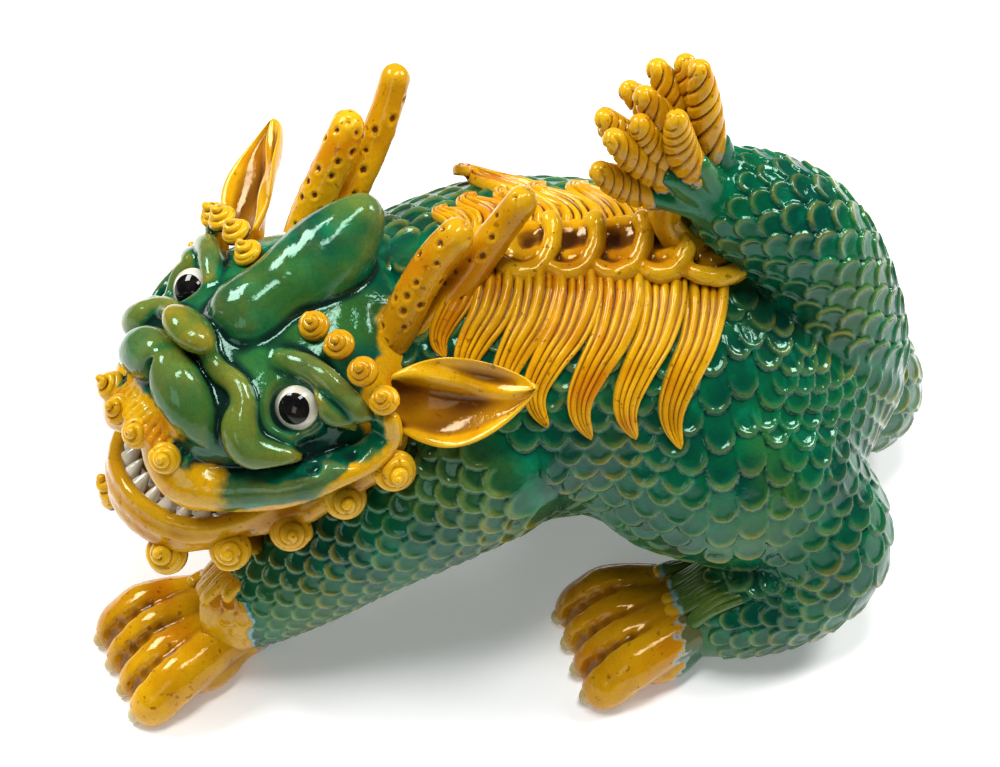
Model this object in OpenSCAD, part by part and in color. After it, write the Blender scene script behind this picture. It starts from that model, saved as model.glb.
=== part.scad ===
// Glazed ceramic guardian beast: a crouching, scaled, horned lion-dragon figure.
// It faces -X with its head turned to its left (-Y) and stands on four flat paws at Z = 0.
// Two thrown or slip-cast shells (body, head) carry solid modelled pieces luted on with slip.

/* [Body shell] */
// Wall thickness of the two hollow shells
wall = 6; // [5:0.5:8]
// Diameter of the firing vents through the shells
vent_d = 3; // [2:0.5:3.5]
// Half width of the chest across the shoulders
chest_half_w = 58; // [54:1:62]
// Height of the back above the floor
back_z = 136; // [132:1:140]

/* [Head] */
// Distance between the eye centres
eye_spacing = 62; // [56:1:66]
// Diameter of each eyeball
eye_d = 17; // [15:0.5:19]
// Thickness of a horn prong at its root
horn_root_d = 14; // [12:0.5:15]
// Radius of the snail curls along the brow and lip
small_curl_r = 5; // [4:0.5:6]
// Radius of the snail curls under the jaw
beard_curl_r = 7; // [6:0.5:8]

/* [Mane] */
// Number of crest curls along the spine
crest_count = 5; // [4:1:6]
// Thickness of a mane lock
lock_t = 5; // [4:0.5:6]
// Width of a mane lock at its root
lock_w = 15; // [12:0.5:15]

/* [Tail] */
// Thickness of the tail at its root
tail_root_d = 40; // [36:1:42]
// Number of fronds in the tail tuft
frond_count = 9; // [7:1:11]

/* [Paws] */
// Thickness of one toe
toe_d = 14; // [12:0.5:15]
// Number of toes on each paw
toe_count = 4; // [3:1:4]

/* [Hidden] */
GREEN = "#0f5a40";
AMBER = "#c98a1c";
CREAM = "#e9e4d2";
LEFT = -1;                      // the beast's left side lies on -Y
RIGHT = 1;
FINE = 32;
COARSE = 20;
centre_shift = [-1.3, 8.9, 0]; // brings the middle of the footprint box to the origin
head_at = [-81.5, -30, 119];    // point midway between the eyes
head_turn = [1.5, -36, 214];    // face looks up 36 degrees and 34 degrees to its left

// ---- helpers -------------------------------------------------------------------------

module placed() {
    translate(centre_shift) children();
}

// Head frame: +X out of the face, +Y to the beast's left, +Z to the crown.
module on_head() {
    translate(head_at) rotate(head_turn) children();
}

module blob(at, half, fn = COARSE) {
    translate(at) scale([half[0], half[1], half[2]]) sphere(r = 1, $fn = fn);
}

// Skin over a row of ellipsoids; each stop is [centre, half sizes].
module chain(stops, grow = 0) {
    for (i = [0 : len(stops) - 2]) {
        hull() {
            blob(stops[i][0], stops[i][1] + [grow, grow, grow]);
            blob(stops[i + 1][0], stops[i + 1][1] + [grow, grow, grow]);
        }
    }
}

function unit(v) = v / norm(v);
function ring(at, along, ref, w, h, sides) =
    let (side = unit(cross(ref, along)), up = unit(cross(along, side)))
    [for (k = [0 : sides - 1])
        at + side * (w * cos(360 * k / sides)) + up * (h * sin(360 * k / sides))];

// Closed tube through stops [centre, half width, half thickness]; ref is the thickness side.
// first and last pick a stretch of the stops, so that two tubes can share one cut face.
module tube(stops, ref = [0, 0, 1], sides = 12, first = 0, last = undef) {
    n = len(stops);
    stop = is_undef(last) ? n - 1 : last;
    function at(i) = stops[i][0];
    function along(i) = unit(at(min(i + 1, n - 1)) - at(max(i - 1, 0)));
    points = [for (i = [first : stop])
        each ring(at(i), along(i), ref, stops[i][1], stops[i][2], sides)];
    walls = [for (i = [0 : stop - first - 1]) for (k = [0 : sides - 1])
        let (a = i * sides + k, b = i * sides + (k + 1) % sides)
        each [[a, a + sides, b], [b, a + sides, b + sides]]];
    start = [for (k = [1 : sides - 2]) [0, k, k + 1]];
    end = (stop - first) * sides;
    finish = [for (k = [1 : sides - 2]) [end, end + k + 1, end + k]];
    polyhedron(points = points, faces = concat(walls, start, finish), convexity = 6);
}

// Coiled clay button: three steps that stand for a snail-shell curl. Axis along +Z.
module snail_curl(r) {
    rotate_extrude($fn = FINE)
        polygon([[0, -r * 0.5], [r, -r * 0.5], [r, r * 0.15], [r * 0.68, r * 0.3],
                 [r * 0.68, r * 0.55], [r * 0.34, r * 0.7], [r * 0.34, r * 0.9], [0, r]]);
}

// ---- shells --------------------------------------------------------------------------

torso = [
    [[-34, -2, 90], [30, 44, 38]],
    [[-2, 0, back_z - 50], [32, chest_half_w, 50]],
    [[40, 0, back_z - 49], [32, chest_half_w - 3, 48]],
    [[78, 0, back_z - 56], [32, chest_half_w - 9, 44]],
    [[103, 3, 68], [26, 40, 36]]
];
haunch_left = [[[60, -40, 74], [34, 24, 32]], [[86, -38, 62], [32, 24, 32]]];
haunch_right = [[[76, 38, 72], [34, 24, 32]], [[103, 28.5, 62], [30, 22, 30]]];

module neck() {
    hull() {
        blob([-34, -2, 90], [30, 40, 34]);
        blob([-52, -12, 100], [18, 30, 30]);
    }
}

// Ridge of the spine, under the mane.
module spine() {
    hull() {
        blob([20, 0, back_z - 36], [50, 20, 36]);
        blob([70, 0, back_z - 44], [20, 20, 34]);
    }
}

module body_solid() {
    chain(torso);
    chain(haunch_left);
    chain(haunch_right);
    neck();
    spine();
}

module body_shell() {
    color(GREEN) placed() difference() {
        body_solid();
        chain(torso, -wall);
        translate([40, 0, 20]) cylinder(d = vent_d, h = 40, $fn = FINE);
    }
}

skull = [
    [[-34, 0, 4], [34, 40, 36]],
    [[-14, 0, -4], [26, 44, 26]],
    [[6, 0, -18], [22, 34, 18]],
    [[16, 0, -22], [16, 26, 14]]
];
snout = [[[10, 0, -4], [16, 14, 12]], [[24, 0, -6], [10, 12, 9]], [[24, 0, -18], [8, 17, 8]]];
brow = [[[-14, -34, 14], [12, 14, 9]], [[-6, -14, 14], [12, 12, 10]],
        [[-6, 14, 14], [12, 12, 10]], [[-14, 34, 14], [12, 14, 9]]];

module head_solid(grow = 0) {
    chain(skull, grow);
    chain(snout, grow);
    chain(brow, grow);
}

module head_shell() {
    color(GREEN) placed() difference() {
        on_head() difference() {
            head_solid();
            blob([-34, 0, 4], [34 - wall, 40 - wall, 36 - wall]);
            translate([-34, 0, -42]) cylinder(d = vent_d, h = 30, $fn = FINE);
            for (side = [-1, 1]) {
                translate([-3, side * eye_spacing / 2, 0]) sphere(d = eye_d, $fn = FINE);
            }
        }
        chest();
    }
}

// Chest and neck alone, used to cut the pieces that sit against them.
module chest() {
    chain([torso[0], torso[1]]);
    neck();
}

// Conical boss on the forehead: round bulb in front, tall blunt peak behind.
module crown_lump() {
    color(GREEN) placed() on_head() difference() {
        union() {
            hull() {
                blob([-2, 0, 13], [11, 14, 12]);
                blob([-10, 0, 30], [11, 13, 12]);
            }
            hull() {
                blob([-10, 0, 30], [11, 13, 12]);
                blob([-19, 0, 52], [7, 7, 8]);
            }
        }
        head_solid();
    }
}

// ---- face ----------------------------------------------------------------------------

jaw_arch = [for (a = [-80 : 20 : 80]) [-20 + 34 * cos(a), 36 * sin(a), -52 - 8 * cos(a)]];

module lower_jaw() {
    color(AMBER) placed() difference() {
        on_head() difference() {
            union() {
                for (i = [0 : len(jaw_arch) - 2]) {
                    hull() {
                        blob(jaw_arch[i], [6, 6, 7]);
                        blob(jaw_arch[i + 1], [6, 6, 7]);
                        blob([-26, 0, -58], [16, 20, 9]);
                    }
                }
                hull() {
                    blob([-30, 26, -44], [10, 10, 12]);
                    blob([-30, -26, -44], [10, 10, 12]);
                }
            }
            blob([-8, 0, -42], [24, 26, 15]);
            head_solid();
        }
        chest();
    }
}

module lower_teeth() {
    color(CREAM) placed() on_head()
        for (a = [-60 : 15 : 60]) {
            at = [-20 + 31 * cos(a), 33 * sin(a), -47 - 8 * cos(a)];
            translate(at) cylinder(r1 = 3, r2 = 1.2, h = 8, $fn = FINE);
        }
}

module eye(side) {
    color(CREAM) placed() on_head() translate([-3, side * eye_spacing / 2, 0])
        sphere(d = eye_d, $fn = FINE);
}
module eye_left() { eye(1); }
module eye_right() { eye(-1); }

// Folded leaf: broad at the middle, pointed at the tip, thicker along its upper fold.
module ear(side) {
    base = [-26, side * 46, 14];
    tip = [-43, side * 76, 43];
    span = tip - base;
    color(AMBER) placed() difference() {
        on_head() tube(
            [for (t = [0, 0.15, 0.3, 0.5, 0.7, 0.85, 1])
                [base + span * t * 1.0, 4 + 9 * sin(180 * min(1, 0.15 + 0.85 * t)), 5 - 3 * t]],
            ref = [1, 0, 0.3]);
        on_head() head_solid();
    }
}
module ear_left() { ear(1); }
module ear_right() { ear(-1); }

// One horn prong from the shared root to its own tip, bowed to the rear.
module horn(side, tip, bow) {
    root = [-30, side * 26, 28];
    color(AMBER) placed() on_head() difference() {
        tube(
            [for (t = [0 : 0.125 : 1])
                [root + (tip - root) * t + [bow * sin(180 * t), 0, 0],
                 horn_root_d / 2 * (1 - 0.35 * t * t) * (t == 1 ? 0.5 : 1),
                 horn_root_d / 2 * (1 - 0.35 * t * t) * (t == 1 ? 0.5 : 1)]],
            ref = [1, 0, 0], sides = 16);
        head_solid();
        if (bow < 0) {
            horn_front_clear(side);
        }
    }
}
front_tip = [-28, 32, 71];
rear_tip = [-41, 37, 90];
module horn_front_clear(side) {
    root = [-30, side * 26, 28];
    tip = [front_tip[0], side * front_tip[1], front_tip[2]];
    tube([for (t = [0 : 0.125 : 1])
            [root + (tip - root) * t + [3 * sin(180 * t), 0, 0],
             horn_root_d / 2 + 0.2, horn_root_d / 2 + 0.2]],
         ref = [1, 0, 0], sides = 16);
}
module horn_left_front() { horn(1, front_tip, 3); }
module horn_right_front() { horn(-1, [front_tip[0], -front_tip[1], front_tip[2]], 3); }
module horn_left_rear() { horn(1, rear_tip, -5); }
module horn_right_rear() { horn(-1, [rear_tip[0], -rear_tip[1], rear_tip[2]], -5); }

// Curl set on the head at a point, with its axis along a direction of the head frame.
module curl_at(at, dir, r) {
    turn = atan2(dir[1], dir[0]);
    tilt = acos(dir[2] / norm(dir));
    translate(at) rotate([0, tilt, turn]) snail_curl(r);
}

brow_curls = [[-2, 20, 23], [-4, 31, 24], [-7, 42, 22], [-12, 51, 18]];
module brow_row(side) {
    color(AMBER) placed() on_head()
        for (c = brow_curls) {
            curl_at([c[0], side * c[1], c[2]], [0.8, side * 0.2, 0.5], small_curl_r);
        }
}
module brow_curls_left() { brow_row(1); }
module brow_curls_right() { brow_row(-1); }

module moustache_curls() {
    color(AMBER) placed() on_head()
        for (y = [-22, -9, 4, 17]) {
            curl_at([27 - 0.012 * y * y, y, -33], [0.9, 0.02 * y, -0.2], small_curl_r);
        }
}

beard_curls = [[9, 11, -72], [-3, 29, -64], [-17, 41, -48], [-23, 52, -22], [-26, 60, -3]];
module beard_row(side) {
    color(AMBER) placed() on_head()
        for (c = beard_curls) {
            curl_at([c[0], side * c[1], c[2]], [0.5, side * c[1] / 60, 0.12], beard_curl_r);
        }
}
module beard_curls_left() { beard_row(1); }
module beard_curls_right() { beard_row(-1); }

// ---- mane ----------------------------------------------------------------------------

crest_from = 8;
crest_pitch = 14.5;
module crest_curls() {
    color(AMBER) placed()
        for (i = [0 : crest_count - 1]) {
            translate([crest_from + i * crest_pitch, -2, back_z + 1]) rotate([90, 0, 0])
                difference() {
                    cylinder(r = 9, h = 14, center = true, $fn = FINE);
                    translate([-4, 3, 0]) cylinder(r = 6, h = 16, center = true, $fn = FINE);
                }
        }
}

// Lock draped over the flank: its root is on the spine and its tip swings rearwards.
lock_root_a = 76;   // where a lock starts, in degrees around the flank from the horizontal
function flank(x, a) = [x, chest_half_w * cos(a), back_z - 50 + 50 * sin(a)];
module mane_lock(side, x0, sweep, reach) {
    steps = 8;
    lift = [0, side * 0.8, 1];
    color(AMBER) placed() tube(
        [for (i = [0 : steps])
            let (t = i / steps, p = flank(x0 + sweep * t + 5 * sin(300 * t), lock_root_a - reach * t))
            [[p[0], side * p[1], p[2]] + lift, lock_w / 2 * (1 - 0.75 * pow(t, 3)), lock_t / 2]],
        ref = [0, side * 0.6, 0.8], sides = 8);
}
module mane_lock_left_1() { mane_lock(LEFT, 2, 8, 36); }
module mane_lock_left_2() { mane_lock(LEFT, 17.5, 8, 42); }
module mane_lock_left_3() { mane_lock(LEFT, 33, 7, 45); }
module mane_lock_left_4() { mane_lock(LEFT, 48.5, 5, 48); }
module mane_lock_left_5() { mane_lock(LEFT, 64, 1, 52); }
module mane_lock_right_1() { mane_lock(RIGHT, 2, 8, 36); }
module mane_lock_right_2() { mane_lock(RIGHT, 17.5, 8, 42); }
module mane_lock_right_3() { mane_lock(RIGHT, 33, 7, 45); }
module mane_lock_right_4() { mane_lock(RIGHT, 48.5, 5, 48); }
module mane_lock_right_5() { mane_lock(RIGHT, 64, 1, 52); }

// Loose curled lock on the far shoulder, ahead of the crest.
module neck_lock() {
    color(AMBER) placed() tube([
        [[14, 20, 134], 6, 3], [[6, 27, 132.5], 6, 3], [[-2, 33, 130], 5.5, 3],
        [[-8, 38, 128], 5, 3], [[-12, 35, 131], 3, 3]], ref = [0, 0.4, 0.9]);
}

// ---- tail ----------------------------------------------------------------------------

tail_r = tail_root_d / 2;
tail_path = [
    [[112, 3, 60], tail_r, tail_r], [[117, 2, 76], tail_r * 0.97, tail_r * 0.97],
    [[116, 1, 92], tail_r * 0.93, tail_r * 0.93], [[111, 0, 108], tail_r * 0.9, tail_r * 0.9],
    [[105, 0, 122], tail_r * 0.9, tail_r * 0.9], [[96, 0, 137], tail_r * 0.9, tail_r * 0.9],
    [[85, 0, 149], tail_r * 0.88, tail_r * 0.88], [[75, 0, 157.5], tail_r * 0.8, tail_r * 0.8],
    [[66, 0, 164], tail_r * 0.68, tail_r * 0.68]
];
tail_split = 4;
module tail_root() {
    color(GREEN) placed() difference() {
        tube(tail_path, ref = [0, 1, 0], sides = 20, last = tail_split);
        body_solid();
    }
}
module tail_tip() {
    color(GREEN) placed() tube(tail_path, ref = [0, 1, 0], sides = 20, first = tail_split);
}

tuft_at = [66, 0, 164];
module tail_tuft() {
    color(AMBER) placed() {
        for (i = [0 : frond_count - 1]) {
            a = 88 + 70 * i / (frond_count - 1);
            swing = 12 * sin(137 * i);
            reach = 42 + 4 * cos(97 * i);
            tip = tuft_at + [reach * cos(a), swing, reach * sin(a)];
            tube([
                [tuft_at + [4, 0, -3], 6.5, 6.5],
                [tuft_at + (tip - tuft_at) * 0.4, 6.2, 6.2],
                [tuft_at + (tip - tuft_at) * 0.75, 5.6, 5.6],
                [tip, 3.2, 3.2]], ref = [0, 1, 0], sides = 10);
        }
    }
}
module tuft_strut() {
    color(AMBER) placed() tube([
        [[58, 0, 158], 8, 6], [[56, -1, 150], 7.5, 5.5], [[56, -2, 143], 6.5, 5],
        [[58, -2, 138], 6, 5]], ref = [1, 0, 0]);
}

// ---- legs and paws -------------------------------------------------------------------

foreleg_left_path = [
    [[0, -40, 86], 27, 27], [[-14, -45, 77], 23.5, 23.5], [[-27, -50, 68], 20.5, 20.5],
    [[-46, -54, 55], 18, 18], [[-64, -57, 42], 16.5, 16.5], [[-80, -59, 34], 15.5, 15.5],
    [[-96, -62, 25], 14.5, 14.5]
];
foreleg_right_path = [
    [[0, 40, 86], 27, 27], [[-8, 44, 76], 23, 23], [[-17, 45, 64], 20, 20],
    [[-30, 44, 50], 18, 18], [[-45, 42, 38], 16.5, 16.5], [[-60, 40, 28], 15, 15],
    [[-70, 38, 23], 14, 14]
];
hind_leg_left_path = [
    [[88, -36, 64], 15, 15], [[102, -40, 50], 20, 20], [[107, -45, 36], 19, 19],
    [[97, -50, 25], 18, 18], [[82, -55, 21], 16, 16], [[68, -58, 17], 12, 12]
];
hind_leg_right_path = [
    [[102, 24, 66], 14, 14], [[117, 25, 51], 19, 19], [[125, 28, 37], 19, 19],
    [[124, 34, 25], 18, 18], [[112, 40, 21], 16, 16], [[100, 43, 17], 12, 12]
];
// A leg is cut to the body above and ends in a peg inside its paw.
module leg(path, ref) {
    color(GREEN) placed() difference() {
        tube(path, ref = ref, sides = 18);
        body_solid();
    }
}
module foreleg_left() { leg(foreleg_left_path, [0, 0, 1]); }
module foreleg_right() { leg(foreleg_right_path, [0, 0, 1]); }
module hind_leg_left() { leg(hind_leg_left_path, [0, 1, 0]); }
module hind_leg_right() { leg(hind_leg_right_path, [0.2, 1, 0]); }

// Where each paw stands: [point on the floor under the wrist, heading of the toes].
FL = [[-97, -60, 0], 205];
FR = [[-74, 37, 0], 172];
HL = [[58, -57, 0], 195];
HR = [[96, 44, 0], 160];
module paw_frame(place) {
    translate(place[0]) rotate([0, 0, place[1]]) children();
}
toe_spread = 10.5;
function toe_y(i) = (i - (toe_count - 1) / 2) * toe_spread;
module paw_solid() {
    fn = 16;
    intersection() {
        union() {
            hull() {
                blob([-8, 0, 13], [13, 15, 16], fn);
                blob([10, 0, 11], [15, 20, 16], fn);
            }
            for (i = [0 : toe_count - 1]) {
                hull() {
                    blob([8, toe_y(i) * 0.85, 12], [9, toe_d / 2, 14], fn);
                    blob([27, toe_y(i) * 1.15, 8], [8, toe_d * 0.45, 10], fn);
                }
            }
        }
        translate([-60, -60, 0]) cube([120, 120, 60]);
    }
}
module paw(place) {
    color(AMBER) placed() paw_frame(place) paw_solid();
}
module claws(place) {
    color(CREAM) placed() paw_frame(place)
        for (i = [0 : toe_count - 1]) {
            translate([34, toe_y(i) * 1.2, 4.5]) rotate([0, 100, 0])
                cylinder(r1 = 2.6, r2 = 1, h = 5, $fn = FINE);
        }
}
// Row of pointed hair tufts pressed over the wrist.
module fringe(place) {
    color(AMBER) placed() paw_frame(place)
        for (i = [-2 : 2]) {
            tube([
                [[6, i * 7, 26 - abs(i) * 1.8], 4, 2.5], [[-4, i * 7.4, 29 - abs(i) * 2.2], 4, 3],
                [[-14, i * 7, 31 - abs(i) * 2.6], 2.4, 2]], ref = [0, 0, 1], sides = 8);
        }
}
module front_paw_left() { paw(FL); }
module front_paw_right() { paw(FR); }
module hind_paw_left() { paw(HL); }
module hind_paw_right() { paw(HR); }
module front_claws_left() { claws(FL); }
module front_claws_right() { claws(FR); }
module hind_claws_left() { claws(HL); }
module hind_claws_right() { claws(HR); }
module front_fringe_left() { fringe(FL); }
module front_fringe_right() { fringe(FR); }
module hind_fringe_left() { fringe(HL); }
module hind_fringe_right() { fringe(HR); }

body_shell();
head_shell();
lower_jaw();
lower_teeth();
eye_left();
eye_right();
ear_left();
ear_right();
crown_lump();
horn_left_front();
horn_left_rear();
horn_right_front();
horn_right_rear();
brow_curls_left();
brow_curls_right();
moustache_curls();
beard_curls_left();
beard_curls_right();
crest_curls();
mane_lock_left_1();
mane_lock_left_2();
mane_lock_left_3();
mane_lock_left_4();
mane_lock_left_5();
mane_lock_right_1();
mane_lock_right_2();
mane_lock_right_3();
mane_lock_right_4();
mane_lock_right_5();
neck_lock();
tail_root();
tail_tip();
tail_tuft();
tuft_strut();
foreleg_left();
foreleg_right();
hind_leg_left();
hind_leg_right();
front_paw_left();
front_paw_right();
hind_paw_left();
hind_paw_right();
front_claws_left();
front_claws_right();
hind_claws_left();
hind_claws_right();
front_fringe_left();
front_fringe_right();
hind_fringe_left();
hind_fringe_right();
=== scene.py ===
"""Glazed ceramic guardian beast: green scaled body, amber mane, horns, curls and paws."""
import math

import bpy
import numpy as np
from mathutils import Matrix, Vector


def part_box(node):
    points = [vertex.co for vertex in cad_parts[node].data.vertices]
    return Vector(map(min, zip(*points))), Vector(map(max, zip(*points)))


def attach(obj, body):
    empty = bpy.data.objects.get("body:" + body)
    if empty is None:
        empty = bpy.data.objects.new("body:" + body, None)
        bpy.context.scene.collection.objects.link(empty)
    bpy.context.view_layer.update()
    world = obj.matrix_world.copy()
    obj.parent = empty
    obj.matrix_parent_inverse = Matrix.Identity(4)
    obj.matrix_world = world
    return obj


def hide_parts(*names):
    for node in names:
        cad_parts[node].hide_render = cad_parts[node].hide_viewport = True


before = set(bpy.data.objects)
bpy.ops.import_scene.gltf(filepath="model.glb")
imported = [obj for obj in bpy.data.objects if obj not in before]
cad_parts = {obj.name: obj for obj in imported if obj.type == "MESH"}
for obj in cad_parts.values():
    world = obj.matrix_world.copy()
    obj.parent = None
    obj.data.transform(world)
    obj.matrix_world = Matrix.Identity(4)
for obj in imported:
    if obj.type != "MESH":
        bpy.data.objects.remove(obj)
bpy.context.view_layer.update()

MM = 0.001
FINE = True
rng = np.random.default_rng(7)

# ---- the figure's own frame, in millimetres, and how it lies in the CAD frame ----

HEAD_AT = np.array([-81.5, -30.0, 119.0])
HEAD_TURN = (1.5, -36.0, 214.0)
EYE_AT = np.array([-3.0, 31.0, 0.0])


def euler_matrix(degrees):
    a, b, c = [math.radians(v) for v in degrees]
    rx = np.array([[1, 0, 0], [0, math.cos(a), -math.sin(a)], [0, math.sin(a), math.cos(a)]])
    ry = np.array([[math.cos(b), 0, math.sin(b)], [0, 1, 0], [-math.sin(b), 0, math.cos(b)]])
    rz = np.array([[math.cos(c), -math.sin(c), 0], [math.sin(c), math.cos(c), 0], [0, 0, 1]])
    return rz @ ry @ rx


HEAD_R = euler_matrix(HEAD_TURN)
eye_boxes = np.array([[list(corner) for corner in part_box(n)] for n in ("eye_left", "eye_right")])
SHIFT = eye_boxes.reshape(4, 3).mean(axis=0) / MM - (HEAD_AT + HEAD_R @ (EYE_AT * [1, 0, 1]))


def from_head(points):
    """Head frame (x out of the face, y to the beast's left, z to the crown) to figure frame."""
    return np.asarray(points, float) @ HEAD_R.T + HEAD_AT


# ---- solid modelling on a grid ----

FAR = 40.0


def egg_gap(p, half):
    """Distance outside an ellipsoid with its axes along the grid; p are offsets from its centre."""
    r0 = np.sqrt(sum((p[i] / half[i]) ** 2 for i in range(3)))
    r1 = np.sqrt(sum((p[i] / half[i] ** 2) ** 2 for i in range(3)))
    return r0 * (r0 - 1) / np.maximum(r1, 1e-5)


def rod_gap(p, d, ra, rb):
    """Distance outside a rounded cone that runs along d; p are offsets from its first end."""
    t = np.clip((p[0] * d[0] + p[1] * d[1] + p[2] * d[2]) / max(d @ d, 1e-9), 0, 1)
    return np.sqrt(sum((p[i] - d[i] * t) ** 2 for i in range(3))) - (ra + (rb - ra) * t)


class Clay:
    """A signed distance grid; solids are pressed on, carved off and then skinned."""

    def __init__(self, low, high, step):
        self.low = np.array(low, float)
        self.step = step
        size = np.ceil((np.array(high, float) - self.low) / step).astype(int) + 1
        self.value = np.full(size, FAR, np.float32)
        self.axes = [(self.low[i] + step * np.arange(size[i])).astype(np.float32) for i in range(3)]

    def window(self, low, high, pad):
        cut = []
        for i in range(3):
            a = int(math.floor((low[i] - pad - self.low[i]) / self.step))
            b = int(math.ceil((high[i] + pad - self.low[i]) / self.step)) + 1
            cut.append(slice(max(a, 0), min(max(b, 0), self.value.shape[i])))
        x, y, z = [self.axes[i][cut[i]] for i in range(3)]
        return tuple(cut), x[:, None, None], y[None, :, None], z[None, None, :]

    def blend(self, window, gap, k, cut):
        """Adds a solid with a fillet of size k, or takes it away."""
        sign = -1 if cut else 1
        old = sign * self.value[window]
        h = np.clip(0.5 + 0.5 * (old - gap) / k, 0, 1)
        self.value[window] = sign * (old + (gap - old) * h - k * h * (1 - h))

    def egg(self, at, half, k=3.0, cut=False):
        """Ellipsoid with its axes along the grid."""
        at, half = np.array(at, float), np.array(half, float)
        w, x, y, z = self.window(at - half, at + half, k + 1.5)
        gap = egg_gap([x - at[0], y - at[1], z - at[2]], half)
        self.blend(w, gap.astype(np.float32), k, cut)

    def rod(self, a, b, ra, rb, k=3.0, cut=False):
        """Rounded cone from a to b."""
        a, b = np.array(a, float), np.array(b, float)
        rmax = max(ra, rb)
        w, x, y, z = self.window(np.minimum(a, b) - rmax, np.maximum(a, b) + rmax, k + 1.5)
        gap = rod_gap([x - a[0], y - a[1], z - a[2]], b - a, ra, rb)
        self.blend(w, gap.astype(np.float32), k, cut)

    def string(self, rows, k=3.0, cut=False, radius=None):
        """Rods from row to row; a row is a place and a radius, or a place where radius is given."""
        rows = np.array(rows, float)
        size = rows[:, 3] if radius is None else np.full(len(rows), radius)
        for i in range(len(rows) - 1):
            self.rod(rows[i, :3], rows[i + 1, :3], size[i], size[i + 1], k, cut)

    def floor(self, z):
        """Cuts everything below a level plane."""
        self.value = np.maximum(self.value, (z - self.axes[2])[None, None, :].astype(np.float32))

    def sample(self, p):
        q = (np.asarray(p) - self.low) / self.step
        top = np.array(self.value.shape) - 2
        i = np.clip(np.floor(q).astype(int), 0, top)
        f = np.clip(q - i, 0, 1)
        total = 0
        for dx in (0, 1):
            for dy in (0, 1):
                for dz in (0, 1):
                    weight = (abs(1 - dx - f[..., 0]) * abs(1 - dy - f[..., 1]) * abs(1 - dz - f[..., 2]))
                    total = total + weight * self.value[i[..., 0] + dx, i[..., 1] + dy, i[..., 2] + dz]
        return total

    def skin(self, relax=2):
        """Surface nets: one vertex in each crossed cell, one quad on each crossed edge."""
        v = self.value
        inside = v < 0
        count = np.zeros([n - 1 for n in v.shape], np.uint8)
        corners = [(a, b, c) for a in (0, 1) for b in (0, 1) for c in (0, 1)]
        for a, b, c in corners:
            count += inside[a:a + count.shape[0], b:b + count.shape[1], c:c + count.shape[2]]
        active = (count > 0) & (count < 8)
        cells = np.argwhere(active)
        ids = np.full(active.shape, -1, np.int64)
        ids[active] = np.arange(len(cells))
        total = np.zeros((len(cells), 3))
        hits = np.zeros(len(cells))
        for one in corners:
            for axis in range(3):
                if one[axis]:
                    continue
                two = list(one)
                two[axis] = 1
                va = v[tuple((cells + one).T)]
                vb = v[tuple((cells + two).T)]
                cross = (va < 0) != (vb < 0)
                t = va[cross] / (va[cross] - vb[cross])
                p = np.tile(np.array(one, float), (len(t), 1))
                p[:, axis] += t
                total[cross] += p
                hits[cross] += 1
        verts = (cells + total / hits[:, None]) * self.step + self.low
        quads = []
        around = {0: ((0, -1, -1), (0, 0, -1), (0, 0, 0), (0, -1, 0)),
                  1: ((-1, 0, 0), (0, 0, 0), (0, 0, -1), (-1, 0, -1)),
                  2: ((-1, -1, 0), (0, -1, 0), (0, 0, 0), (-1, 0, 0))}
        for axis in range(3):
            first = [slice(1, -1)] * 3
            second = [slice(1, -1)] * 3
            first[axis] = slice(0, -1)
            second[axis] = slice(1, None)
            a, b = inside[tuple(first)], inside[tuple(second)]
            base = np.array([1, 1, 1])
            base[axis] = 0
            for outward, mask in ((True, a & ~b), (False, ~a & b)):
                at = np.argwhere(mask) + base
                if len(at):
                    ring = [ids[tuple((at + o).T)] for o in around[axis]]
                    quads.append(np.stack(ring if outward else ring[::-1], axis=1))
        faces = np.concatenate(quads)
        verts = smooth(verts, faces, relax)
        return verts, faces


# ---- mesh helpers ----

def edges_of(faces):
    pairs = np.concatenate([faces, np.roll(faces, -1, axis=1)], axis=0).reshape(2, -1).T
    pairs = pairs[pairs[:, 0] != pairs[:, 1]]
    return np.unique(np.sort(pairs, axis=1), axis=0)


def neighbour_mean(values, edges, n):
    degree = np.bincount(edges.ravel(), minlength=n)
    out = np.empty_like(values)
    for i in range(values.shape[1]):
        out[:, i] = (np.bincount(edges[:, 0], values[edges[:, 1], i], n)
                     + np.bincount(edges[:, 1], values[edges[:, 0], i], n))
    return out / np.maximum(degree, 1)[:, None]


def smooth(verts, faces, times, keep=0.5):
    edges = edges_of(faces)
    for _ in range(times):
        verts = keep * verts + (1 - keep) * neighbour_mean(verts, edges, len(verts))
    return verts


def relief_of(verts, faces, normals, passes, depth):
    """Height over the smoothed surface: above 0 on ridges and below 0 in grooves."""
    soft = smooth(verts, faces, passes, 0)
    return np.clip(((verts - soft) * normals).sum(1) / depth, -1, 1)


def normals_of(verts, faces):
    a, b, c, d = [verts[faces[:, i]] for i in range(4)]
    n = np.cross(c - a, d - b)
    out = np.zeros_like(verts)
    for i in range(3):
        for j in range(4):
            out[:, i] += np.bincount(faces[:, j], n[:, i], len(verts))
    return out / np.maximum(np.linalg.norm(out, axis=1), 1e-9)[:, None]


def hand_worked(verts, faces, size, wave):
    """Uneven surface of clay pressed by hand; wave is in radians for each millimetre."""
    x, y, z = verts.T * wave
    bump = (np.sin(x + 1.3 * np.sin(0.6 * z)) * np.sin(0.9 * y + 1.1 * np.sin(0.7 * x))
            + 0.6 * np.sin(1.7 * z + 0.8 * np.sin(y)) * np.sin(1.3 * x + 0.4)
            + 0.4 * np.sin(2.9 * y + z) * np.sin(2.3 * z - x))
    return verts + normals_of(verts, faces) * (size * bump)[:, None]


def volume(verts, faces):
    a, b, c, d = [verts[faces[:, i]] for i in range(4)]
    return (np.cross(b, c) * a).sum() + (np.cross(c, d) * a).sum()


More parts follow.
